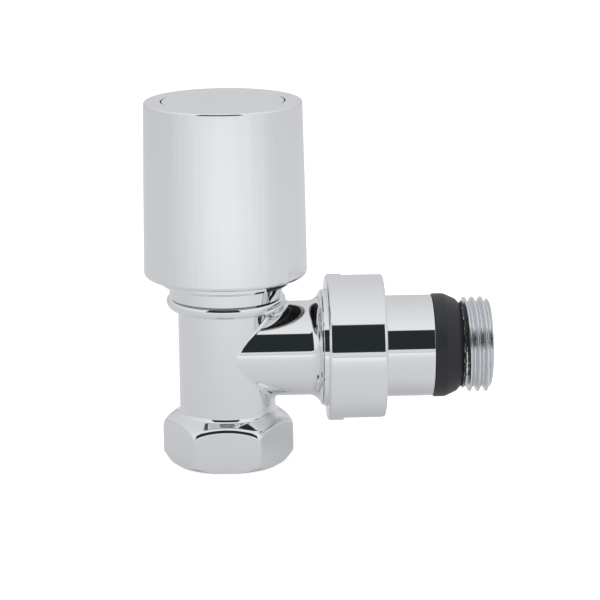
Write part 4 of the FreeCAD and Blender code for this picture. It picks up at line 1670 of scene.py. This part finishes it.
@dataclass(frozen=True)
class TailSeal:
    """Black rubber seal between the tail's barrel and its thread."""

    foot: float = 45.15
    land: float = 47.7
    cone: float = 50.3
    nose: float = 51.5
    lip: float = 52.0
    lip_radius: float = 9.75
    radius: float = 11.39
    cone_radius: float = 10.2
    nose_radius: float = 8.9
    bore: float = 8.42
    foot_ease: float = 0.4
    land_ease: float = 2.0
    cone_ease: float = 1.0
    nose_ease: float = 0.1
    pitch: float = 1.0
    lip_steps: int = 13
    lip_root: float = 0.1
    lip_hollow: float = 0.2
    lip_sunk: float = 0.3
    lip_spread: float = 0.3
    lip_drift: float = 0.16
    lip_waves: tuple[tuple[int, float], ...] = ((7, 0.4), (17, 2.1), (31, 1.2), (47, 4.0), (71, 5.3))

    def build(self) -> bpy.types.Object:
        """Builds the seal.

        Returns:
            The piece.
        """
        outline = (
            Outline()
            .to(self.bore, self.foot)
            .to(self.radius, self.foot, ease=self.foot_ease)
            .to(self.radius, self.land, ease=self.land_ease)
            .to(self.cone_radius, self.cone, ease=self.cone_ease)
            .to(self.nose_radius, self.nose, ease=self.nose_ease)
            .to(self.bore, self.nose)
        )
        shell = Shell()
        shell.turn(outline, self.pitch)
        self.squeezed_lip(shell)
        return shell.build("rubber_seal", Lie.ALONG_BRANCH)

    def squeezed_lip(self, shell: Shell) -> None:
        """Adds the ragged lip that is squeezed into the run-in of the thread.

        Args:
            shell: Receives the faces, along Z in millimetres.
        """
        angles = np.linspace(0, 2 * math.pi, THREAD_AROUND, endpoint=False)
        ragged = sum(
            np.sin(count * angles + phase) / len(self.lip_waves) for count, phase in self.lip_waves
        )
        out = radial(angles)
        middle = (self.nose_radius + self.lip_radius) / 2
        half = (self.lip_radius - self.nose_radius + self.lip_root) / 2
        rings = []
        for angle in np.linspace(-math.pi / 2, math.pi / 2, self.lip_steps):
            radius = middle + half * (math.cos(angle) * (1 + self.lip_spread * ragged) - 0.5)
            rise = (self.lip - self.nose) * (0.5 + 0.5 * math.sin(angle))
            height = self.nose + rise + self.lip_drift * ragged
            rings.append(out * radius[:, None] + UP * height[:, None])
        rows = []
        for points, before, after in zip(rings, rings[:1] + rings[:-1], rings[1:] + rings[-1:]):
            rows.append(skin_row(points, after - before))
        rows.append(ring_row(angles, self.bore, self.lip - self.lip_hollow, (0, 1), (-1, 0)))
        rows.append(ring_row(angles, self.bore, self.nose - self.lip_sunk, (-1, 0), (0, -1)))
        shell.sweep(rows)

    def dress(self, piece: bpy.types.Object) -> None:
        """Gives the seal its rubber."""
        paint(piece, SEAL_RUBBER)


@dataclass(frozen=True)
class HubSkirt:
    """The hub of the CAD, whose skirt shows under the cap in several colours: black moulding, a plated
    wall, and painted shade and light, black towards the branch, dark grey in the recess and light grey
    on the lip in front.
    """

    bore: float = 13.6
    recess_inside: float = 14.2
    # Faces past shade_from towards the branch and inside shade_outside are painted black as shade.
    shade_outside: float = 14.5
    shade_from: float = 8.5
    lip_top: float = 42.2
    wall_top: float = 42.3
    recess_top: float = 42.6
    down: float = -0.9
    recess_down: float = -0.5

    def moulded_and_painted_shade(self, centres: np.ndarray, normals: np.ndarray) -> np.ndarray:
        """Finds the moulded faces, all but the plated wall of the skirt, and the sector towards the
        branch, where the wall too is painted black as shade.

        Args:
            centres: Face centres in millimetres.
            normals: Face normals.

        Returns:
            A mask.
        """
        radius = np.hypot(centres[:, 0], centres[:, 1])
        wall = (radius > self.bore) & (normals[:, 2] > self.down) & (centres[:, 2] < self.wall_top)
        # The sector towards the branch is painted black as shade, plated wall and all.
        return ~wall | ((centres[:, 0] > self.shade_from) & (radius < self.shade_outside))

    def lip(self, centres: np.ndarray, normals: np.ndarray) -> np.ndarray:
        """Finds the faces of the skirt's lower lip and bore, away from the branch, which are painted
        light grey as light.

        Args:
            centres: Face centres in millimetres.
            normals: Face normals.

        Returns:
            A mask.
        """
        radius = np.hypot(centres[:, 0], centres[:, 1])
        low = (centres[:, 2] < self.lip_top) & ((normals[:, 2] < self.down) | (radius < self.bore))
        return low & (centres[:, 0] < self.shade_from)

    def over_rim(self, centres: np.ndarray, normals: np.ndarray) -> np.ndarray:
        """Finds the faces over the skirt that look down on the cap's rim, which are painted dark grey
        as shade in the recess.

        Args:
            centres: Face centres in millimetres.
            normals: Face normals.

        Returns:
            A mask.
        """
        height = centres[:, 2]
        radius = np.hypot(centres[:, 0], centres[:, 1])
        outer = (radius > self.recess_inside) & (centres[:, 0] < self.shade_from)
        level = (height > self.lip_top) & (height < self.recess_top)
        return outer & level & (normals[:, 2] < self.recess_down)

    def dress(self, piece: bpy.types.Object) -> None:
        """Plates the skirt's wall, leaves the rest as black moulding, and paints shade and light on it:
        black as shade over the side towards the branch, dark grey as shade in the recess under the rim,
        light grey as light on the lip in front.

        Args:
            piece: The hub.
        """
        paint(piece, BRIGHT_CHROME)
        # Black moulding everywhere but the plated wall, and painted shade over the side towards the
        # branch.
        paint_faces(piece, BLACK_PLASTIC_AND_SHADE, self.moulded_and_painted_shade)
        # Painted shade: dark grey in the recess under the cap's rim, away from the branch.
        paint_faces(piece, RECESS_PAINTED_SHADE, self.over_rim)
        # Painted light: the lip and bore away from the branch in light grey.
        paint_faces(piece, LIP_PAINTED_LIGHT, self.lip)


def smooth_cad_node(node: bpy.types.Object, angle: float = 30.0) -> None:
    """Gives a CAD node clean shading.

    Args:
        node: The CAD node.
        angle: Edges sharper than this stay sharp, in degrees.
    """
    mesh = node.data
    if "custom_normal" in mesh.attributes:
        mesh.attributes.remove(mesh.attributes["custom_normal"])
    mesh.polygons.foreach_set("use_smooth", [True] * len(mesh.polygons))
    mesh.set_sharp_from_angle(angle=math.radians(angle))


@dataclass(frozen=True)
class Scene:
    """Floor, light and camera.

    Angles are degrees. The target and the camera's distance and sensor are millimetres, and the
    clip range, the floor and the lamp are metres.
    """

    camera_distance: float = 530.0
    azimuth: float = 2.5
    elevation: float = 14.15
    roll: float = -0.55
    focal_px: float = 2419.3
    picture_px: float = 600.0
    sensor: float = 36.0
    clip: tuple[float, float] = (0.01, 20.0)
    target: tuple[float, float, float] = (16.18, 0.0, 35.5)
    tent_far: Colour = (0.655, 0.66, 0.67)
    tent_near: Colour = (0.935, 0.94, 0.95)
    tent_foot: tuple[float, float] = (2.0, 9.0)
    tent_foot_light: float = 0.8
    card: Colour = (0.0225, 0.028, 0.0285)
    card_foot: tuple[float, float] = (5.0, 6.2)
    card_top: tuple[float, float] = (48.0, 50.0)
    card_left: tuple[float, float] = (-41.0, -39.0)
    card_right: tuple[float, float] = (26.0, 28.0)
    floor_half: float = 3.0
    floor_level: float = -0.0002
    floor_grey: float = 0.36
    floor_rough: float = 0.9
    floor_tint: Colour = (0.985, 0.995, 1.02)
    floor_seen: float = 0.84
    # Painted light on the floor, seen in reflections: a base glow, a pool in front of the object and a
    # slope to one side.
    floor_glow: float = 0.31
    floor_front: float = 0.235
    floor_side: float = 0.035
    front_power: float = 1.9
    front_from: tuple[float, float] = (0.02, 0.32)
    front_until: tuple[float, float] = (0.6, 1.0)
    lamp_size: float = 1.2
    lamp_watts: float = 9.0
    lamp_place: tuple[float, float, float] = (-0.35, -0.35, 1.3)
    lamp_aim: tuple[float, float, float] = (0.0, 0.0, 0.03)

    def direction(self) -> Vector:
        """Unit vector from the target to the camera.

        Returns:
            The direction.
        """
        azimuth, elevation = math.radians(self.azimuth), math.radians(self.elevation)
        return Vector(
            (
                -math.sin(azimuth) * math.cos(elevation),
                -math.cos(azimuth) * math.cos(elevation),
                math.sin(elevation),
            )
        )

    def camera(self) -> None:
        """Sets up the camera."""
        data = bpy.data.cameras.new("camera")
        data.sensor_fit = "HORIZONTAL"
        data.sensor_width = self.sensor
        data.lens = self.sensor * self.focal_px / self.picture_px
        data.clip_start, data.clip_end = self.clip
        camera = bpy.data.objects.new("camera", data)
        bpy.context.scene.collection.objects.link(camera)
        away = self.direction()
        camera.location = (Vector(self.target) + away * self.camera_distance) * MM
        turn = away.to_track_quat("Z", "Y").to_matrix().to_4x4()
        turn = turn @ Matrix.Rotation(math.radians(self.roll), 4, "Z")
        camera.rotation_euler = turn.to_euler()
        bpy.context.scene.camera = camera

    def world(self) -> None:
        """Paints the light tent round the object by direction."""
        world = bpy.data.worlds.new("tent")
        bpy.context.scene.world = world
        world.use_nodes = True
        tree = world.node_tree
        background = next(node for node in tree.nodes if node.type == "BACKGROUND")
        place = tree.nodes.new("ShaderNodeTexCoord")
        split = tree.nodes.new("ShaderNodeSeparateXYZ")
        tree.links.new(place.outputs["Generated"], split.inputs[0])

        maths = Maths(tree)
        x, y, z = split.outputs
        rise = maths.run("DEGREES", maths.run("ARCSINE", z))
        spin = maths.run("DEGREES", maths.run("ARCTAN2", x, maths.run("MULTIPLY", y, -1.0)))
        above = maths.ease(rise, *self.card_foot)
        below = maths.run("SUBTRACT", 1.0, maths.ease(rise, *self.card_top))
        left = maths.ease(spin, *self.card_left)
        right = maths.run("SUBTRACT", 1.0, maths.ease(spin, *self.card_right))
        high = maths.run("MULTIPLY", above, below)
        card = maths.run("MULTIPLY", high, maths.run("MULTIPLY", left, right))
        towards = maths.run("MULTIPLY_ADD", y, -0.5, 0.5)
        tent = tree.nodes.new("ShaderNodeMix")
        tent.data_type = "RGBA"
        tree.links.new(towards, tent.inputs["Factor"])
        tent.inputs["A"].default_value = (*self.tent_far, 1)
        tent.inputs["B"].default_value = (*self.tent_near, 1)
        low = maths.ease(rise, *self.tent_foot)
        low = maths.run("MULTIPLY_ADD", low, 1 - self.tent_foot_light, self.tent_foot_light)
        dimmed = tree.nodes.new("ShaderNodeVectorMath")
        dimmed.operation = "SCALE"
        tree.links.new(tent.outputs["Result"], dimmed.inputs["Vector"])
        tree.links.new(low, dimmed.inputs["Scale"])
        shade = tree.nodes.new("ShaderNodeMix")
        shade.data_type = "RGBA"
        tree.links.new(card, shade.inputs["Factor"])
        tree.links.new(dimmed.outputs["Vector"], shade.inputs["A"])
        shade.inputs["B"].default_value = (*self.card, 1)
        tree.links.new(shade.outputs["Result"], background.inputs["Color"])
        background.inputs["Strength"].default_value = 1.0

    def floor(self) -> None:
        """Lays the pale floor, which glows evenly for the camera and, for all other rays, with a
        painted pool of light brightest in front of the object and lighter towards one side.
        """
        mesh = bpy.data.meshes.new("floor")
        side = self.floor_half
        mesh.from_pydata(
            [(-side, -side, 0), (side, -side, 0), (side, side, 0), (-side, side, 0)], [], [(0, 1, 2, 3)]
        )
        floor = bpy.data.objects.new("floor", mesh)
        bpy.context.scene.collection.objects.link(floor)
        floor.location.z = self.floor_level
        material = bpy.data.materials.new("pale_floor")
        material.use_nodes = True
        tree = material.node_tree
        maths = Maths(tree)
        shader = next(node for node in tree.nodes if node.type == "BSDF_PRINCIPLED")
        shader.inputs["Base Color"].default_value = (*[self.floor_grey] * 3, 1)
        shader.inputs["Roughness"].default_value = self.floor_rough
        shader.inputs["Specular IOR Level"].default_value = 0.0
        place = tree.nodes.new("ShaderNodeTexCoord")
        split = tree.nodes.new("ShaderNodeSeparateXYZ")
        tree.links.new(place.outputs["Object"], split.inputs[0])
        x, y, _ = split.outputs
        square = maths.run("ADD", maths.run("MULTIPLY", x, x), maths.run("MULTIPLY", y, y))
        reach = maths.run("MAXIMUM", maths.run("SQRT", square), MM)
        ahead = maths.run("MAXIMUM", maths.run("DIVIDE", maths.run("MULTIPLY", y, -1.0), reach), 0.0)
        ahead = maths.run("POWER", ahead, self.front_power)
        ahead = maths.run("MULTIPLY", ahead, maths.ease(reach, *self.front_from))
        fading = maths.run("SUBTRACT", 1.0, maths.ease(reach, *self.front_until))
        ahead = maths.run("MULTIPLY", ahead, fading)
        aside = maths.run("DIVIDE", x, reach)
        # Painted pool of light: glow brightest in front of the object and lighter to one side, seen by
        # all rays but the camera's.
        glow = maths.run("MULTIPLY_ADD", ahead, self.floor_front, self.floor_glow)
        glow = maths.run("MULTIPLY_ADD", aside, self.floor_side, glow)
        path = tree.nodes.new("ShaderNodeLightPath")
        seen = tree.nodes.new("ShaderNodeMix")
        seen.data_type = "FLOAT"
        tree.links.new(path.outputs["Is Camera Ray"], seen.inputs["Factor"])
        tree.links.new(glow, seen.inputs["A"])
        seen.inputs["B"].default_value = self.floor_seen
        shader.inputs["Emission Color"].default_value = (*self.floor_tint, 1)
        tree.links.new(seen.outputs["Result"], shader.inputs["Emission Strength"])
        mesh.materials.append(material)

    def lamp(self) -> None:
        """Hangs one large soft lamp over the object."""
        data = bpy.data.lights.new("soft_lamp", "AREA")
        data.shape = "DISK"
        data.size = self.lamp_size
        data.energy = self.lamp_watts
        lamp = bpy.data.objects.new("soft_lamp", data)
        bpy.context.scene.collection.objects.link(lamp)
        lamp.location = self.lamp_place
        aim = Vector(self.lamp_aim) - lamp.location
        lamp.rotation_euler = aim.to_track_quat("-Z", "Y").to_euler()
        lamp.visible_glossy = False
        lamp.visible_camera = False

    def build(self) -> None:
        """Builds the whole set."""
        self.world()
        self.floor()
        self.lamp()
        self.camera()
        view = bpy.context.scene.view_settings
        view.view_transform = "Standard"
        view.look = "None"


def main() -> None:
    """Builds the looks."""
    logging.basicConfig(level=logging.INFO, format="%(message)s")
    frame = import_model()

    pieces: tuple[tuple[Piece, str, str, str], ...] = (
        (ValveBody(), "valve", "valve_body", "chrome_brass"),
        (HandwheelCap(), "handwheel", "handwheel_cap", "chrome_cap"),
        (CapDisc(), "handwheel", "cap_disc", "chrome_cap"),
        (UnionNut(), "nut", "union_nut", "chrome_nut"),
        (TailPiece(), "tail", "tail_piece", "chrome_tail"),
        (TailSeal(), "tail", "tail_seal", "seal_rubber"),
    )
    for form, body, node, slot in pieces:
        piece = form.build()
        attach(piece, body)
        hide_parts(node)
        form.dress(piece)
        log.info("%s: %d faces", piece.name, len(piece.data.polygons))

    hub = frame["nodes"]["handwheel_hub"]
    smooth_cad_node(hub)
    HubSkirt().dress(hub)
    log.info("handwheel_hub: %d faces", len(hub.data.polygons))
    kept = {
        "bonnet": TURNED_BRASS,
        "bonnet_o_ring": RING_RUBBER,
        "spindle": TURNED_BRASS,
        "spindle_o_ring_lower": RING_RUBBER,
        "spindle_o_ring_upper": RING_RUBBER,
        "gland_bush": TURNED_BRASS,
        "circlip": ZINC_STEEL,
        "thrust_washer": WHITE_NYLON,
        "disc_carrier": TURNED_BRASS,
        "disc_washer": RING_RUBBER,
        "washer_screw": ZINC_STEEL,
        "hub_washer": ZINC_STEEL,
        "hub_screw": ZINC_STEEL,
        "union_o_ring": RING_RUBBER,
    }
    for name, finish in kept.items():
        node = frame["nodes"][name]
        smooth_cad_node(node)
        paint(node, finish)
        log.info("%s: %d faces", name, len(node.data.polygons))

    Scene().build()


if __name__ == "__main__":
    main()
